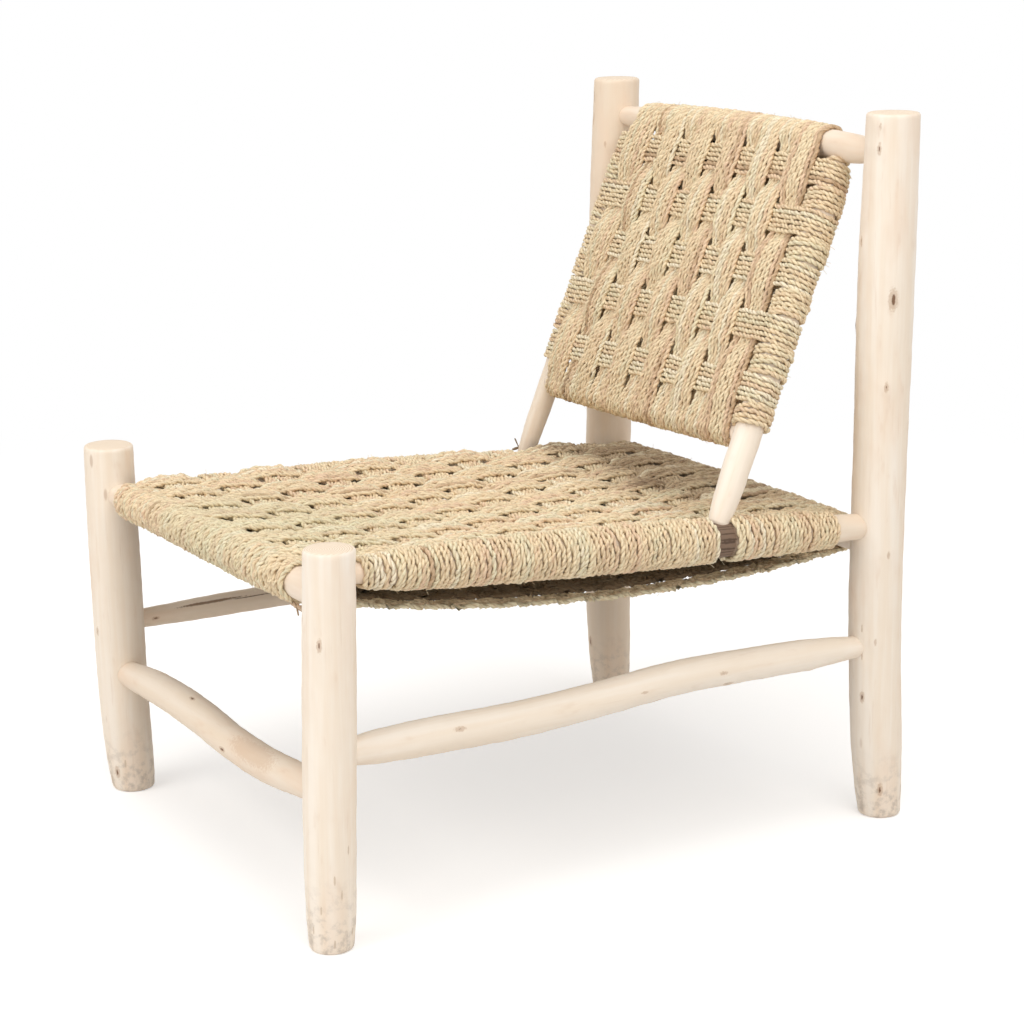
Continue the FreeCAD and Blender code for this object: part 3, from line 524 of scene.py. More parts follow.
# The back frame: a top rail between the rear posts, and two uprights whose whittled feet stand in the side
# rails and whose tops are pegged into the top rail. A lower rail, hidden in the rope, joins the uprights.
top_rail = between_legs("rear_post_right", 0.755, "rear_post_left", 0.755, 0.035,
                        ((0, 0.66), (0.08, 0.78), (0.3, 0.94), (0.55, 1), (0.85, 0.95), (0.95, 0.88), (1, 0.7)),
                        arch, (0, 0, 0.002))
upright_girths = ((0, 0.74), (0.03, 0.84), (0.09, 0.95), (0.2, 1), (0.6, 1), (0.93, 0.97), (0.97, 0.86), (1, 0.5))
upright_top_shares = {"left": 0.885, "right": 0.06}
uprights = {}
for side, foot_y, diameter in (("left", 0.115, 0.031), ("right", 0.205, 0.026)):
    rail = side_rails[side]
    uprights[side] = between(rail, rail.share_at(1, foot_y), top_rail, upright_top_shares[side], diameter,
                             upright_girths)
lower_rail_share = 0.235
lower_rail = between(uprights["right"], lower_rail_share, uprights["left"], lower_rail_share, 0.026,
                     ((0, 0.9), (0.2, 0.97), (0.5, 1), (0.8, 0.97), (1, 0.9)))
fit_bar("top_rail", top_rail, 71, pink=0.8, tan_and_shade=0.3)
fit_bar("back_upright_left", uprights["left"], 73, pink=0.25, reach=0.004)
fit_bar("back_upright_right", uprights["right"], 75, pink=0.6, tan_and_shade=0.2, reach=0.004)
fit_bar("back_lower_rail", lower_rail, 77, reach=0.004, sides=24)


# The rope: two plies of dried palm leaf twisted together by hand, about 5.6 mm thick, with loose leaf ends
# standing off it. Each flat band of the weave is one rope that winds round both rails again and again.
rope_radius, rope_spacing, strands_in_band = 0.00285, 0.0056, 6
half_band = strands_in_band * rope_spacing / 2
twist_length = 0.0165

rope = bpy.data.node_groups.new("two_ply_rope", "GeometryNodeTree")
rope_in = sockets(rope, [("Rope Line", "Geometry", None), ("Rope Radius", "Float", rope_radius),
                         ("Twist Length", "Float", twist_length), ("Unevenness", "Float", 0.42),
                         ("Loose Fibres", "Float", 1500.0), ("Seed", "Int", 5), ("Fibre", "Material", None)],
                  [("Rope", "Geometry")])


def rope_value(name, kind="FLOAT"):
    return result(rope, "GeometryNodeInputNamedAttribute", {"Name": name}, data_type=kind)


def stored(geometry, name, value):
    return result(rope, "GeometryNodeStoreNamedAttribute", {0: geometry, "Name": name, "Value": value},
                  data_type="FLOAT_VECTOR", domain="POINT")


def random_of(low, high, seed, kind="FLOAT"):
    """A random value for each point: a number, or a vector."""
    first = 0 if kind == "FLOAT_VECTOR" else 2
    return place(rope, "FunctionNodeRandomValue", {first: low, first + 1: high, "Seed": seed},
                 data_type=kind).outputs[first // 2]


run = rope_value("run")


def change_along(per_metre, detail):
    """A value that changes along the rope, about a half."""
    where = plus(rope, times(rope, run, per_metre), rope_in["Seed"])
    return result(rope, "ShaderNodeTexNoise", {"W": where, "Scale": 1.0, "Detail": detail}, noise_dimensions="1D")


twist = times(rope, math_of(rope, "DIVIDE", run, rope_in["Twist Length"]), 2 * math.pi)
turned_by = plus(rope, plus(rope, twist, rope_in["Seed"]), times(rope, change_along(34.0, 1.0), 5.0))
line = result(rope, "GeometryNodeMeshToCurve", {0: rope_in["Rope Line"]})
line = result(rope, "GeometryNodeSetCurveTilt", {0: line, 2: turned_by})
line = stored(line, "heading", result(rope, "GeometryNodeInputTangent"))
girth = times(rope, rope_in["Rope Radius"],
              plus(rope, 1.0, centred(rope, change_along(110.0, 3.0), rope_in["Unevenness"])))
girth = times(rope, girth, rope_value("girth"))
ring = result(rope, "GeometryNodeCurvePrimitiveCircle", {"Resolution": 8, "Radius": 1.0})
spot = result(rope, "GeometryNodeInputPosition")
ring = stored(ring, "lobe", spot)
wide = math_of(rope, "ABSOLUTE", result(rope, "ShaderNodeSeparateXYZ", {0: spot}))
waist = plus(rope, 0.66, times(rope, 0.42, wide))
ring = result(rope, "GeometryNodeSetPosition", {0: ring, "Position": vector_of(rope, "SCALE", spot, scale=waist)})
body = result(rope, "GeometryNodeCurveToMesh", {0: line, 1: ring, "Scale": girth, "Fill Caps": True})
scattered = place(rope, "GeometryNodeDistributePointsOnFaces", {
    0: body, "Density": rope_in["Loose Fibres"], "Seed": rope_in["Seed"]}).outputs
stray = vector_of(rope, "SCALE", rope_value("heading", "FLOAT_VECTOR"),
                  scale=math_of(rope, "SIGN", random_of(-1.0, 1.0, 3)))
stray = vector_of(rope, "ADD", stray, vector_of(rope, "SCALE", scattered[1], scale=0.35))
stray = vector_of(rope, "ADD", stray, random_of((-0.4, -0.4, -0.4), (0.4, 0.4, 0.4), 7, "FLOAT_VECTOR"))
stray_turn = result(rope, "FunctionNodeAlignRotationToVector", {"Vector": stray}, axis="Z")
fibre_line = result(rope, "GeometryNodeCurveQuadraticBezier", {
    "Resolution": 3, "Start": (0, 0, -0.25), "Middle": (-0.02, 0, 0.45), "End": (0.24, 0.10, 0.85)})
fibre_ring = result(rope, "GeometryNodeCurvePrimitiveCircle", {"Resolution": 3, "Radius": 0.026})
one_fibre = result(rope, "GeometryNodeCurveToMesh", {0: fibre_line, 1: fibre_ring, "Fill Caps": True})
fibres = result(rope, "GeometryNodeInstanceOnPoints", {
    0: scattered[0], "Instance": one_fibre, "Rotation": stray_turn, "Scale": random_of(0.004, 0.010, 11)})
joined = place(rope, "GeometryNodeJoinGeometry", {0: body})
rope.links.new(fibres, joined.inputs[0])
whole = result(rope, "GeometryNodeRealizeInstances", {0: joined.outputs[0]})
whole = result(rope, "GeometryNodeRemoveAttribute", {0: whole, "Name": "heading"})
whole = result(rope, "GeometryNodeSetShadeSmooth", {0: whole})
whole = result(rope, "GeometryNodeSetMaterial", {0: whole, "Material": rope_in["Fibre"]})
place(rope, "NodeGroupOutput", {0: whole})

# Dried palm leaf: straw gold, with paler, greenish, pinkish and brown lengths, fine streaks along each ply,
# dark flecks of painted shade, painted shade in the groove between the plies, and painted shade on most turns
# below the seat and on the loose ends. The seat's rear part was laid with a greyer rope.
palm_fibre = bpy.data.materials.new("palm_fibre")
palm = emptied(palm_fibre)
along, tone = attribute_of(palm, "run"), attribute_of(palm, "tone")
lobe_parts = place(palm, "ShaderNodeSeparateXYZ", {0: attribute_of(palm, "lobe", "Vector")}).outputs
chair_place = object_place(palm)
chair_x, chair_y, chair_z = place(palm, "ShaderNodeSeparateXYZ", {0: chair_place}).outputs


def along_rope(stretch):
    """A place on the rope's skin: round it, and along it by so much a metre, other on each length of rope."""
    length = plus(palm, times(palm, along, stretch), times(palm, tone, 37.0))
    return result(palm, "ShaderNodeCombineXYZ", {0: lobe_parts[0], 1: lobe_parts[1], 2: length})


def cloud(scale, size):
    """A soft change from place to place on the chair, about nought."""
    return centred(palm, noise_of(palm, chair_place, scale, 2), size)


leaf_streaks = noise_of(palm, along_rope(26.0), 3.6, 4, 0.65)
leaf_change = noise_of(palm, along_rope(70.0), 0.6, 2)
# Dark flecks: painted shade of small slits between the fibres, at random places.
painted_slit_flecks = step_of(palm, noise_of(palm, along_rope(48.0), 2.6, 2, 0.5), 0.59, 0.70)
shade = plus(palm, tone, centred(palm, leaf_change, 0.55))
shade = plus(palm, shade, centred(palm, leaf_streaks, 0.70))
shade = plus(palm, shade, cloud(13, 0.35))
straw = place(palm, "ShaderNodeValToRGB", {0: shade})
straw_stops = ((0.0, (0.50, 0.35, 0.21)), (0.16, (0.66, 0.47, 0.30)), (0.32, (0.86, 0.63, 0.45)),
               (0.46, (0.86, 0.68, 0.45)), (0.64, (0.93, 0.77, 0.53)), (0.80, (0.83, 0.75, 0.52)),
               (1.0, (0.97, 0.86, 0.66)))
while len(straw.color_ramp.elements) < len(straw_stops):
    straw.color_ramp.elements.new(0.5)
for element, (stop, tint) in zip(straw.color_ramp.elements, straw_stops):
    element.position, element.color = stop, (*tint, 1)
green_middle = (0.02, -0.27, 0.375)
green_far = plus(palm, vector_of(palm, "DISTANCE", chair_place, green_middle), cloud(22, 0.16))
green_part = step_of(palm, green_far, 0.08, 0.20, 0.42, 0)
# Painted shade in the groove between the two plies.
painted_groove_shade = step_of(palm, math_of(palm, "ABSOLUTE", lobe_parts[0]), 0.0, 0.62, 0.55, 0)
grey_edge = plus(palm, plus(palm, chair_y, cloud(16, 0.16)), centred(palm, tone, -0.07))
grey_part = step_of(palm, grey_edge, 0.195, 0.255)
for share in (step_of(palm, chair_x, 0.03, 0.20, 1, 0), step_of(palm, chair_z, 0.44, 0.46, 1, 0),
              step_of(palm, shade, 0.25, 0.85, 0.92, 0.30)):
    grey_part = times(palm, grey_part, share)
grey_leaf = blend_of(palm, step_of(palm, leaf_streaks, 0.3, 0.7), (0.17, 0.10, 0.055, 1), (0.58, 0.43, 0.28, 1))
# Painted shade on rope with a shelter above 0.6: most turns below the seat, and the loose ends.
painted_shade_below = step_of(palm, attribute_of(palm, "hidden_shade"), 0.6, 0.95, 0, 0.8)
fibre_color = straw.outputs[0]
for mask, tint in ((green_part, (0.74, 0.70, 0.48, 1)), (painted_groove_shade, (0.46, 0.31, 0.17, 1)),
                   (times(palm, painted_slit_flecks, 0.42), (0.36, 0.24, 0.13, 1)), (grey_part, grey_leaf),
                   (painted_shade_below, (0.17, 0.105, 0.055, 1))):
    fibre_color = blend_of(palm, mask, fibre_color, tint)
fibre_bump = result(palm, "ShaderNodeBump", {"Strength": 0.7, "Distance": 0.0006, "Height": leaf_streaks})
palm_shader = result(palm, "ShaderNodeBsdfPrincipled", {
    "Base Color": fibre_color, "Roughness": step_of(palm, leaf_streaks, 0.3, 0.7, 0.5, 0.72),
    "Normal": fibre_bump, "Specular IOR Level": 0.3})
place(palm, "ShaderNodeOutputMaterial", {"Surface": palm_shader})

# How the rope is laid: as one long line for each band, a little unsteady, and of another tone on each turn.
# Turns out of sight, below the seat and behind the back, are drawn more coarsely and a little thicker, and most
# of those below the seat are painted in shade.
rope_draw = np.random.default_rng(2024)
visible_step, hidden_step, hidden_girth, hidden_from = 0.0027, 0.0055, 1.12, 0.4
line_step, plain_wander = 0.001, 0.0010


def rounded(points, step=line_step, reach=3):
    """A line taken at an even step, with its corners rounded."""
    points = np.asarray(points, float)
    runs = np.r_[0, np.cumsum(np.linalg.norm(np.diff(points, axis=0), axis=1))]
    even = np.linspace(0, runs[-1], max(8, int(runs[-1] / step)))
    line = np.stack([np.interp(even, runs, points[:, k]) for k in range(3)], 1)
    weights = np.exp(-0.5 * (np.arange(-2 * reach, 2 * reach + 1) / reach) ** 2)
    padded = np.vstack([np.repeat(line[:1], 2 * reach, 0), line, np.repeat(line[-1:], 2 * reach, 0)])
    return np.stack([np.convolve(padded[:, k], weights / weights.sum(), "valid") for k in range(3)], 1)


def strand(points, steps, tones, hidden_shade=0.0, girth=1.0, wander=plain_wander):
    """A rope's line at its rings' spacing, a little unsteady: (points, run, tone, shelter, girth); high shelter is
    painted shade.
    """
    gaps = np.linalg.norm(np.diff(points, axis=0), axis=1)
    steps = np.broadcast_to(steps, len(points))
    density = np.r_[0, np.cumsum(gaps * 2 / (steps[1:] + steps[:-1]))]
    at = np.linspace(0, density[-1], max(3, int(density[-1])))
    line = np.stack([np.interp(at, density, points[:, k]) for k in range(3)], 1)
    run_at = np.interp(at, density, np.r_[0, np.cumsum(gaps)])
    for length in (0.043, 0.026, 0.016):
        phases = rope_draw.uniform(0, 2 * math.pi, 3)
        line += wander * np.sin(run_at[:, None] * 2 * math.pi / length + phases) / 3
    return line, run_at, *(np.interp(at, density, np.broadcast_to(values, len(points)))
                           for values in (tones, hidden_shade, girth))


def lay_rope(name, strands, node, seed):
    """One piece of the rope work, made from its strands' lines, in place of one CAD node."""
    edges, first = [], 0
    for line, *_ in strands:
        edges += [(k, k + 1) for k in range(first, first + len(line) - 1)]
        first += len(line)
    mesh = bpy.data.meshes.new(name + "_lines")
    mesh.from_pydata(np.vstack([line for line, *_ in strands]).tolist(), edges, [])
    for column, attribute in ((1, "run"), (2, "tone"), (3, "hidden_shade"), (4, "girth")):
        values = np.concatenate([parts[column] for parts in strands])
        mesh.attributes.new(attribute, "FLOAT", "POINT").data.foreach_set("value", values)
    lines = in_scene(name + "_lines", mesh)
    modifier = lines.modifiers.new("rope", "NODES")
    modifier.node_group = rope
    given = {"Rope Radius": rope_radius, "Twist Length": twist_length, "Seed": seed, "Fibre": palm_fibre}
    for item in rope.interface.items_tree:
        if item.item_type == "SOCKET" and item.in_out == "INPUT" and item.name in given:
            modifier[item.identifier] = given[item.name]
    graph = bpy.context.evaluated_depsgraph_get()
    made = bpy.data.meshes.new_from_object(lines.evaluated_get(graph), preserve_all_data_layers=True,
                                           depsgraph=graph)
    bpy.data.objects.remove(lines)
    bpy.data.meshes.remove(mesh)
    made.name = name
    laid = in_scene(name, made)
    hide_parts(node)
    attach(laid, "root")


def some_tone():
    """The colour of one length of rope: mostly straw, sometimes pale, pinkish, greenish or brown."""
    tone = rope_draw.choice([0.18, 0.34, 0.48, 0.62, 0.78, 0.94], p=[0.03, 0.10, 0.33, 0.37, 0.07, 0.10])
    return float(np.clip(tone + rope_draw.normal(0, 0.05), 0.02, 0.98))


def one_turn(parts, shelters):
    """The parts of a turn in one line, each with its shelter: 0 in plain sight, 1 out of sight and painted in
    shade.
    """
    return np.vstack(parts), np.repeat(shelters[:len(parts)], [len(part) for part in parts])


def lay_band(name, turns, seed, girth=1.0, wander=plain_wander):
    """A band of the weave: one rope, laid turn after turn. name has a gap for the word rope or band."""
    raw = np.vstack([points for points, _ in turns])
    hidden_shade = np.concatenate([hidden for _, hidden in turns])
    tones = np.concatenate([np.full(len(points), some_tone()) for points, _ in turns])
    run_raw = np.r_[0, np.cumsum(np.linalg.norm(np.diff(raw, axis=0), axis=1))]
    line = rounded(raw, reach=2)
    at = np.linspace(0, run_raw[-1], len(line))
    hidden_shade = np.interp(at, run_raw, hidden_shade)
    steps = np.where(hidden_shade > hidden_from, hidden_step, visible_step)
    girths = np.where(hidden_shade > hidden_from, girth * hidden_girth, girth)
    whole = strand(line, steps, np.interp(at, run_raw, tones), hidden_shade, girths, wander)
    lay_rope(name.format("rope"), [whole], name.format("band"), seed)


# The seat's front-to-rear bands: fourteen, each a rope laid six times round the front and rear rails. Over
# the cross bands they pass in turn above and below, and underneath they run straight and sag. At the far
# end of the front rail they are crowded inwards.
def mix(a, b, share):
    return a + (b - a) * share


def eased(at, stops, values):
    """Value between stops, flat at each stop and easing from one to the next."""
    stops, values = np.array(stops, float), np.array(values, float)
    low = np.clip(np.searchsorted(stops, at, side="right") - 1, 0, len(stops) - 2)
    t = np.clip((at - stops[low]) / (stops[low + 1] - stops[low]), 0, 1)
    return values[low] + (values[low + 1] - values[low]) * t * t * (3 - 2 * t)


def points_of(x, y, z):
    return np.stack(np.broadcast_arrays(x, y, z), 1)


def goes_over(band, row):
    """1 where a lengthwise band passes over a cross band, and -1 where it passes under it."""
    return 1 if (band + row) % 2 == 0 else -1


seat_right_x, seat_left_x, seat_bands, seat_rows = -0.246, 0.215, 14, 10
seat_pitch = (seat_left_x - seat_right_x) / seat_bands
seat_row_first, seat_row_last, seat_row_width = -0.297, 0.288, 0.552
seat_row_drift = {7: (0.11, 0.0), 8: (-0.11, 0.28), 9: (-0.48, 0.0)}
seat_sag, seat_under_sag, inner_under_sag = 0.018, 0.029, 0.029 - 0.0036
seat_warp_lift, seat_weft_lift, warp_spread = 0.0054, 0.0006, 0.40
crowding, crowded_width, crowded_depth, crowded_rise = 0.022, 0.132, 0.14, 0.0014
lit_from_x = seat_left_x - 5 * rope_spacing


def seat_row_y(row, x):
    left, right = seat_row_drift.get(row, (0.0, 0.0))
    rows = row + mix(right, left, x / seat_row_width + 0.5)
    return mix(seat_row_first, seat_row_last, rows / (seat_rows - 1))


def rail_at(rail, x):
    """Centre (y, z) of a cross rail at an x, and the radius at which a strand's middle lies on it."""
    share = rail.share_at(0, x)
    centre = rail.point(share)
    return centre[..., 1], centre[..., 2], rail.radius(share) + rope_radius


def seat_height(x, y):
    """Height of the seat's middle surface, which hangs between the front and rear rails."""
    front_y, front_z, front_r = rail_at(front_rail, x)
    rear_y, rear_z, rear_r = rail_at(rear_rail, x)
    along = np.clip((y - front_y) / (rear_y - front_y), 0, 1)
    hang = np.clip(1 - (x / -seat_right_x) ** 2, 0, 1) * 4 * along * (1 - along)
    return mix(front_z + front_r, rear_z + rear_r, along) - seat_sag * hang


def weave_lift(at, ends, band, middles):
    """How a lengthwise band rises and dips, as 1 over and -1 under the cross bands with these middles."""
    stops, lifts, brow, brow_lift = [ends[0]], [0.0], half_band * 0.8, 0.9
    for row, middle in enumerate(middles):
        side = goes_over(band, row)
        stops += [middle - brow, middle, middle + brow]
        lifts += [side * brow_lift, side, side * brow_lift]
    return eased(at, stops + [ends[1]], lifts + [0.0])


def flattened(lane):
    """The outer strands of a band rise and dip less than its middle ones."""
    return 1 - 0.3 * (lane / strands_in_band) ** 2


def seat_warp_turn(band, x, x_before, x_after, lane):
    """One turn of a front-to-rear band: up the front rail, over the weave, down the rear and back below."""
    crowd = max(0.0, 1 - (x - seat_right_x) / crowded_width)
    front_y, front_z, front_r = rail_at(front_rail, x + crowd * crowding)
    front_r = front_r + crowded_rise * crowd * ((lane + 5) // 2 % 2)
    rear_y, rear_z, rear_r = rail_at(rear_rail, x)
    # The outermost strands below the seat are left unshaded, as they show lit at its edge; the inner ones get
    # painted shade.
    under_sag, hidden_shade = (seat_under_sag, 0.5) if x > lit_from_x else (inner_under_sag, 1.0)
    along = np.arange(front_y, rear_y, line_step)
    lift = weave_lift(along, (front_y, rear_y), band, [seat_row_y(row, x) for row in range(seat_rows)])
    top = points_of(x + lane * warp_spread * lift * 0.001, along,
                    seat_height(x, along) + seat_warp_lift * lift * flattened(lane))
    turn = np.radians(np.arange(-90, 90, 4.0))
    up_front = points_of(x, front_y - front_r * np.cos(turn), front_z + front_r * np.sin(turn))
    down_rear = points_of(x, rear_y + rear_r * np.cos(turn), rear_z - rear_r * np.sin(turn))
    share = np.linspace(0, 0.5, 300)

    def below(x, share):
        low = mix(front_z - front_r, rear_z - rear_r, share) - under_sag * 4 * share * (1 - share)
        return points_of(x, mix(front_y, rear_y, share), low)

    way_in = below(mix(mix(x_before, x, 0.5), x, 1 - share[::-1] * 2), share[::-1])
    way_out = below(mix(x, mix(x, x_after, 0.5), share * 2), 1 - share)
    parts = (way_in, up_front, top, down_rear, way_out)
    for part in parts:
        part[:, 0] += crowd * crowding * (1 - np.clip((part[:, 1] - front_y) / crowded_depth, 0, 1)) ** 2
    return one_turn(parts, [hidden_shade, 0, 0, 0, hidden_shade])


for band in range(seat_bands):
    spacing = seat_pitch / strands_in_band
    lanes = [seat_right_x + seat_pitch * band + spacing * (k + 0.5) for k in range(strands_in_band)]
    turns = [seat_warp_turn(band, x, lanes[max(0, k - 1)], lanes[min(strands_in_band - 1, k + 1)],
                            2 * k + 1 - strands_in_band) for k, x in enumerate(lanes)]
    lay_band("seat_warp_{}_%02d" % (band + 1), turns, band, wander=0.0018)


# The seat's cross bands: ten, six strands each, laid round both side rails through the front-to-rear bands.
# The last rows swing aside where the back uprights' feet stand in the rails.
foot_window, window_centres = 0.0095, {"left": 0.1215, "right": 0.2125}
weft_under_sag, free_fall, rail_x, window_edge = 0.004, math.radians(35), 0.276, 0.0005
left_turn_end, right_turn_start = math.radians(205), math.radians(290)
cross_lanes = np.arange(strands_in_band) - (strands_in_band - 1) / 2


def row_on_rail(row, side):
    """Where a cross band's middle lies along a side rail, clear of the bare gap at an upright's foot."""
    y = float(seat_row_y(row, rail_x if side == "left" else -rail_x))
    window, half = window_centres[side], half_band + foot_window + window_edge
    if abs(y - window) < half:
        y = window + math.copysign(half, y - window)
    return y


def seat_weft_turn(row, lane, next_lane, last):
    """One turn of a cross band: over the seat, round the left rail, back below, round the right rail."""
    ends = {}
    for side, edge_x, way in (("right", seat_right_x - 0.001, 1), ("left", seat_left_x + 0.001, -1)):
        rail, rail_y = side_rails[side], row_on_rail(row, side) + lane * rope_spacing
        share = rail.share_at(1, rail_y)
        (x, _, z), radius = rail.point(share), float(rail.radius(share)) + rope_radius
        near_y = float(seat_row_y(row, edge_x)) + lane * rope_spacing
        near_z = float(seat_height(edge_x, near_y))
        far, leave = math.hypot(edge_x - x, near_z - z), free_fall
        if far >= radius * 1.02:
            leave = math.pi / 2 - math.atan2(near_z - z, (edge_x - x) * way) - math.acos(radius / far)
        ends[side] = (rail_y, x, z, radius, leave, way)

    def round_rail(side, angles):
        """Points round a side rail, at angles in radians from its top, inwards positive."""
        rail_y, x, z, radius, _, way = ends[side]
        return points_of(x + way * radius * np.sin(angles), rail_y, z + radius * np.cos(angles))

    across = np.arange(seat_right_x, seat_left_x, line_step)
    y = seat_row_y(row, across) + lane * rope_spacing
    centres = seat_right_x + seat_pitch * (np.arange(seat_bands) + 0.5)
    lifts = [-goes_over(band, row) for band in range(seat_bands)]
    lift = eased(across, [seat_right_x, *centres, seat_left_x], [0, *lifts, 0])
    top = points_of(across, y, seat_height(across, y) + seat_weft_lift * lift)
    over_left = round_rail("left", np.arange(ends["left"][4], -left_turn_end, -0.08))
    over_right = round_rail("right", np.arange(-right_turn_start, ends["right"][4], 0.08))
    share = np.linspace(0, 1, 400)
    back = mix(over_left[-1], over_right[0], share[:, None])
    back[:, 1] = mix(over_left[-1, 1], row_on_rail(row, "right") + next_lane * rope_spacing, share)
    back[:, 2] -= weft_under_sag * 4 * share * (1 - share)
    # The return below the seat gets a shelter of 1, which paints it in shade.
    return one_turn([over_right, top, over_left, back][:3 if last else 4], [0, 0, 0, 1.0])


def cross_turns(turn_of, row):
    return [turn_of(row, lane, lane + 1, lane == cross_lanes[-1]) for lane in cross_lanes]


for row in range(seat_rows):
    lay_band("seat_weft_{}_%02d" % (row + 1), cross_turns(seat_weft_turn, row), 40 + row, 0.97, 0.0013)


# Rope wound round the side rails between the cross bands' turns, so that no wood shows but the ends and
# a gap at each upright's foot. Its cut ends hang loose by the left front leg and the right upright's foot.
looseness = 0.0005


def wound(pole, share_a, share_b, start_turn):
    """A rope wound round a pole from one share of its length to another, turn beside turn."""
    turns = max(1, round(pole.length * (share_b - share_a) / rope_spacing))
    count = turns * 40
    shares = np.linspace(share_a, share_b, count)
    angle = start_turn + np.linspace(0, 2 * math.pi * turns, count)
    slack = looseness * (np.sin(angle * 0.37 + share_a * 50) + np.sin(angle * 0.11 + 2))
    radius = pole.radius(shares) + rope_radius + np.abs(slack)
    side = np.array((0.0, 0, 1)) - pole.heading * pole.heading[2]
    side /= np.linalg.norm(side)
    over = np.cross(pole.heading, side)
    spots = pole.point(shares) + side * (np.cos(angle) * radius)[:, None] + over * (np.sin(angle) * radius)[:, None]
    spots += pole.heading * (looseness * np.sin(angle * 0.5 + share_b * 30))[:, None]
    tones = [some_tone() for _ in range(turns + 1)]
    return strand(spots, visible_step, np.interp(np.linspace(0, turns, count), np.arange(turns + 1), tones))


def free_stretches(first, rows, last):
    """What lies between the cross bands with these middles, from a first to a last place on a pole."""
    stops = [first] + [row + way * half_band for row in rows for way in (-1, 1)] + [last]
    return zip(stops[0::2], stops[1::2])


least_stretch = rope_spacing * 0.6
# Each loose end: its points, tone, painted shade and girth.
loose_ends = {
    "left": [([(0.208, -0.353, 0.3470), (0.236, -0.356, 0.3475), (0.259, -0.358, 0.3485)], 0.3, 0.75, 0.95),
             ([(0.2225, -0.3565, 0.3500), (0.229, -0.3580, 0.3465), (0.2345, -0.3590, 0.3405)], 0.15, 0.8, 0.30)],
    "right": [([(-0.279, 0.211, 0.338), (-0.283, 0.206, 0.345), (-0.285, 0.203, 0.355)], 0.1, 0.9, 0.30),
              ([(-0.286, 0.200, 0.340), (-0.278, 0.207, 0.344), (-0.266, 0.222, 0.339), (-0.262, 0.232, 0.336)],
               0.1, 0.9, 0.62)],
}
for side, wrap_start, wrap_end_y in (("left", 0.002, 0.276), ("right", 0.002, 0.306)):
    rail, window = side_rails[side], window_centres[side]
    rows = [row_on_rail(row, side) for row in range(seat_rows)]
    strands = []
    for low, high in free_stretches(rail.point(wrap_start / rail.length)[1], rows, wrap_end_y):
        free = [(low, high)]
        if low < window < high:
            free = [(low, window - foot_window), (window + foot_window, high)]
        strands += [wound(rail, rail.share_at(1, y_a), rail.share_at(1, y_b), math.pi)
                    for y_a, y_b in free if y_b - y_a > least_stretch]
    strands += [strand(rounded(places, step=0.0005), 0.0012, tone, shade, girth, wander=0.0002)
                for places, tone, shade, girth in loose_ends[side]]
    lay_rope("seat_side_turns_" + side, strands, "seat_side_wrap_" + side, 60)


# The back's upright bands: eleven, each a rope laid round the top rail and the lower rail. They fan out a
# little downwards, and the two outer bands are wider than the nine between them.
back_top_edges = (0.047, 0.165, 0.242, 0.319, 0.396, 0.473, 0.55, 0.627, 0.705, 0.782, 0.86, 0.962)
back_low_edges = (0.04, 0.125, 0.206, 0.287, 0.368, 0.449, 0.53, 0.611, 0.692, 0.773, 0.854, 0.965)
back_row_shares = (0.0, 0.238, 0.476, 0.728, 1.0)
back_first_drop, back_last_rise = 0.0383, 0.050
back_front_lift, back_warp_lift, back_weft_lift, back_weft_depth = 0.017, 0.0050, 0.0006, 0.0095
back_width, back_strand_width, easing_in = 0.447, 0.0058, 0.03
low_ends = [uprights[side].point(lower_rail_share) for side in ("right", "left")]


def back_plane(across_top, across_low):
    """Axis points on the top and lower rails, their distance, the way down and the way to the front."""
    first = top_rail.point(mix(upright_top_shares["right"], upright_top_shares["left"], across_top))
    last = mix(low_ends[0], low_ends[1], across_low)
    across = top_rail.heading + (low_ends[1] - low_ends[0]) / np.linalg.norm(low_ends[1] - low_ends[0])
    front = np.cross(last - first, across)
    span = np.linalg.norm(last - first)
    return first, last, span, (last - first) / span, front / np.linalg.norm(front)


def back_row_drops(span):
    return [mix(back_first_drop, span - back_last_rise, share) for share in back_row_shares]


def back_warp_turn(band, across_top, across_low, shift_in, shift_out, lane):
    """One turn of an upright band: up the back, over the top rail, down over the weave, round the lower rail."""
    first, last, span, down, front = back_plane(across_top, across_low)
    across = np.cross(front, down)
    top_radius = float(top_rail.radius(top_rail.share_at(0, first[0]))) + rope_radius
    low_share = min(1.0, max(0.0, lower_rail.share_at(0, last[0])))
    low_radius = float(lower_rail.radius(low_share)) + rope_radius
    fall = np.arange(0, span, line_step)
    lift = weave_lift(fall, (0.0, span), band, back_row_drops(span))
    middle = eased(fall, [0, back_first_drop - half_band, span - back_last_rise + half_band, span],
                   [top_radius, back_front_lift, back_front_lift, low_radius])
    turn = np.radians(np.arange(0, 181, 5.0))
    half = np.linspace(0, 0.5, 150)
    parts = [
        (span * (0.5 - half), -mix(top_radius, low_radius, 0.5 - half), shift_in * (0.5 - half)),
        (-top_radius * np.sin(turn), -top_radius * np.cos(turn), 0 * turn),
        (fall, middle + back_warp_lift * lift * flattened(lane), lane * warp_spread * lift * 0.001),
        (span + low_radius * np.sin(turn), low_radius * np.cos(turn), 0 * turn),
        (span * (1 - half), -mix(top_radius, low_radius, 1 - half), shift_out * half),
    ]
    return one_turn([first + down * u[:, None] + front * n[:, None] + across * s[:, None] for u, n, s in parts],
                    [0.5, 0, 0, 0, 0.5])


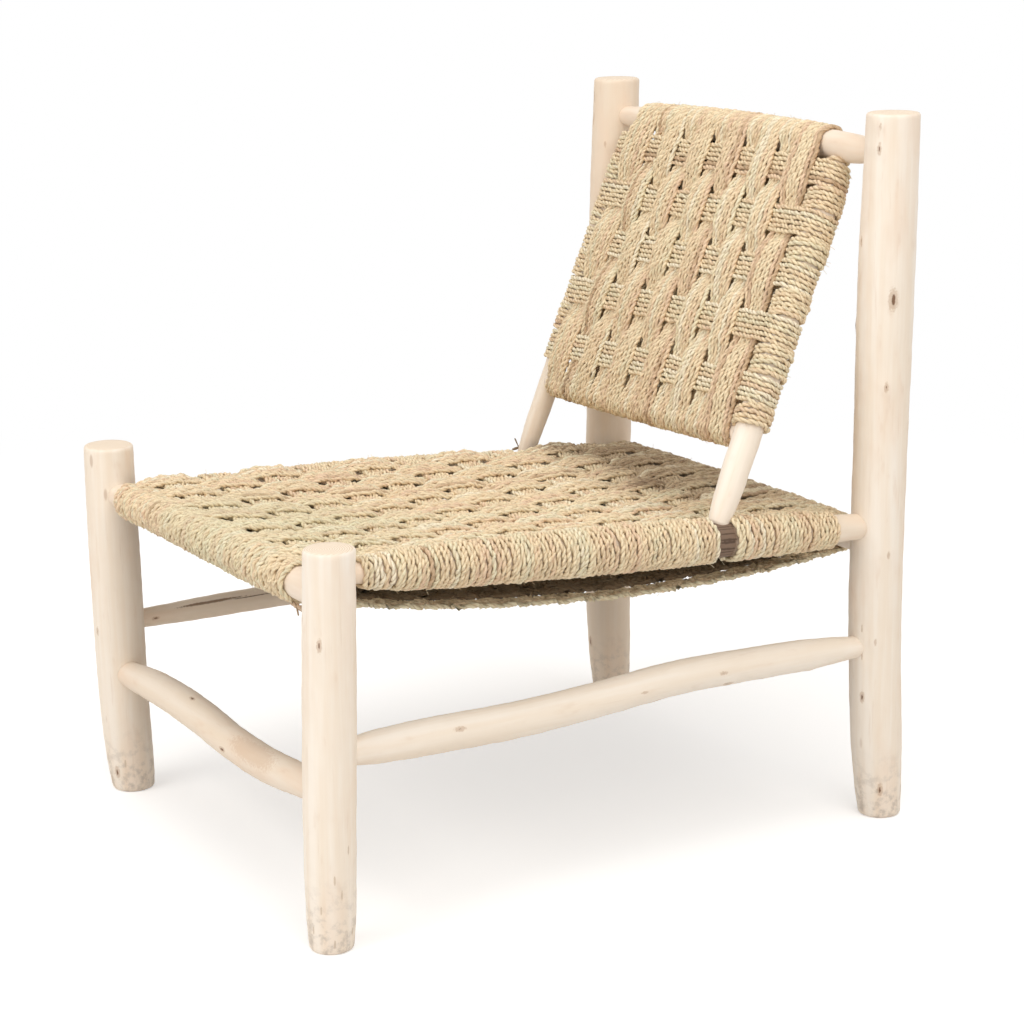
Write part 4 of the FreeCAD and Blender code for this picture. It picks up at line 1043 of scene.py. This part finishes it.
for band in range(len(back_top_edges) - 1):
    t_a, t_b, l_a, l_b = back_top_edges[band:band + 2] + back_low_edges[band:band + 2]
    lanes = max(5, round(mix(t_b - t_a, l_b - l_a, 0.5) * back_width / back_strand_width))
    turns = []
    for k in range(lanes):
        share = (k + 0.5) / lanes
        shift_in, shift_out = (0.0 if k == edge else rope_spacing / 2 for edge in (0, lanes - 1))
        turns.append(back_warp_turn(band, mix(t_a, t_b, share), mix(l_a, l_b, share), shift_in, -shift_out,
                                    2 * k + 1 - lanes))
    lay_band("back_warp_{}_%02d" % (band + 1), turns, 80 + band)


# The back's five cross bands: six strands each of the same rope, laid round both uprights and through the
# upright bands, in turn over and under them.
def share_on(pole, place_on_axis):
    return float((place_on_axis - pole.start) @ pole.heading) / pole.length


def back_weft_turn(row, lane, next_lane, last_one):
    """One turn of a cross band: round the right upright, over the front, round the left one and back."""
    ends = {}
    for side, across in (("right", 0.0), ("left", 1.0)):
        first, last, span, down, front = back_plane(across, across)
        drop = back_row_drops(span)[row]
        centre = first + down * (drop + lane * rope_spacing)
        radius = float(uprights[side].radius(share_on(uprights[side], centre))) + rope_radius
        ends[side] = (centre, first + down * (drop + next_lane * rope_spacing), radius, front)
    (right, right_next, right_radius, right_front), (left, _, left_radius, left_front) = ends.values()
    width = np.linalg.norm(left - right)
    across = (left - right) / width
    turn = np.radians(np.arange(0, 181, 6.0))[:, None]
    along = np.arange(0, width, line_step)
    drop_share = back_row_drops(width)[row] / width
    edges = [mix(top, low, drop_share) for top, low in zip(back_top_edges, back_low_edges)]
    centres = [width * (a + b) / 2 for a, b in zip(edges, edges[1:])]
    heights = [back_front_lift - goes_over(band, row) * back_weft_lift for band in range(len(centres))]
    height = eased(along, [0, *centres, width], [right_radius, *heights, left_radius])
    depth = eased(along, [0, easing_in, width - easing_in, width],
                  [left_radius, back_weft_depth, back_weft_depth, right_radius])
    front_way = mix(right_front, left_front, (along / width)[:, None])
    parts = [
        right - across * (right_radius * np.sin(turn[::-1])) + right_front * (right_radius * np.cos(turn[::-1])),
        right + across * along[:, None] + front_way * height[:, None],
        left + across * (left_radius * np.sin(turn)) + left_front * (left_radius * np.cos(turn)),
        mix(left, right_next, (along / width)[:, None]) - front_way[::-1] * depth[:, None],
    ]
    return one_turn(parts[:3 if last_one else 4], [0, 0, 0, 0.5])


for row in range(len(back_row_shares)):
    lay_band("back_weft_{}_%d" % (row + 1), cross_turns(back_weft_turn, row), 100 + row, 0.93)

# The wraps of the back uprights: the same rope wound turn beside turn round the bare wood between the cross
# bands, from just below the top rail down to the lower rail.
for side, across, top_drop, low_drop, start_turn in (("right", 0.0, 0.022, 0.322, math.pi / 2),
                                                     ("left", 1.0, 0.0145, 0.335, -math.pi / 2)):
    first, _, span, down, _ = back_plane(across, across)
    strands = [wound(uprights[side], share_on(uprights[side], first + down * high),
                     share_on(uprights[side], first + down * low), start_turn)
               for low, high in free_stretches(top_drop, back_row_drops(span), low_drop)
               if high - low > least_stretch]
    lay_rope("back_side_turns_" + side, strands, "back_side_wrap_" + side, 120)
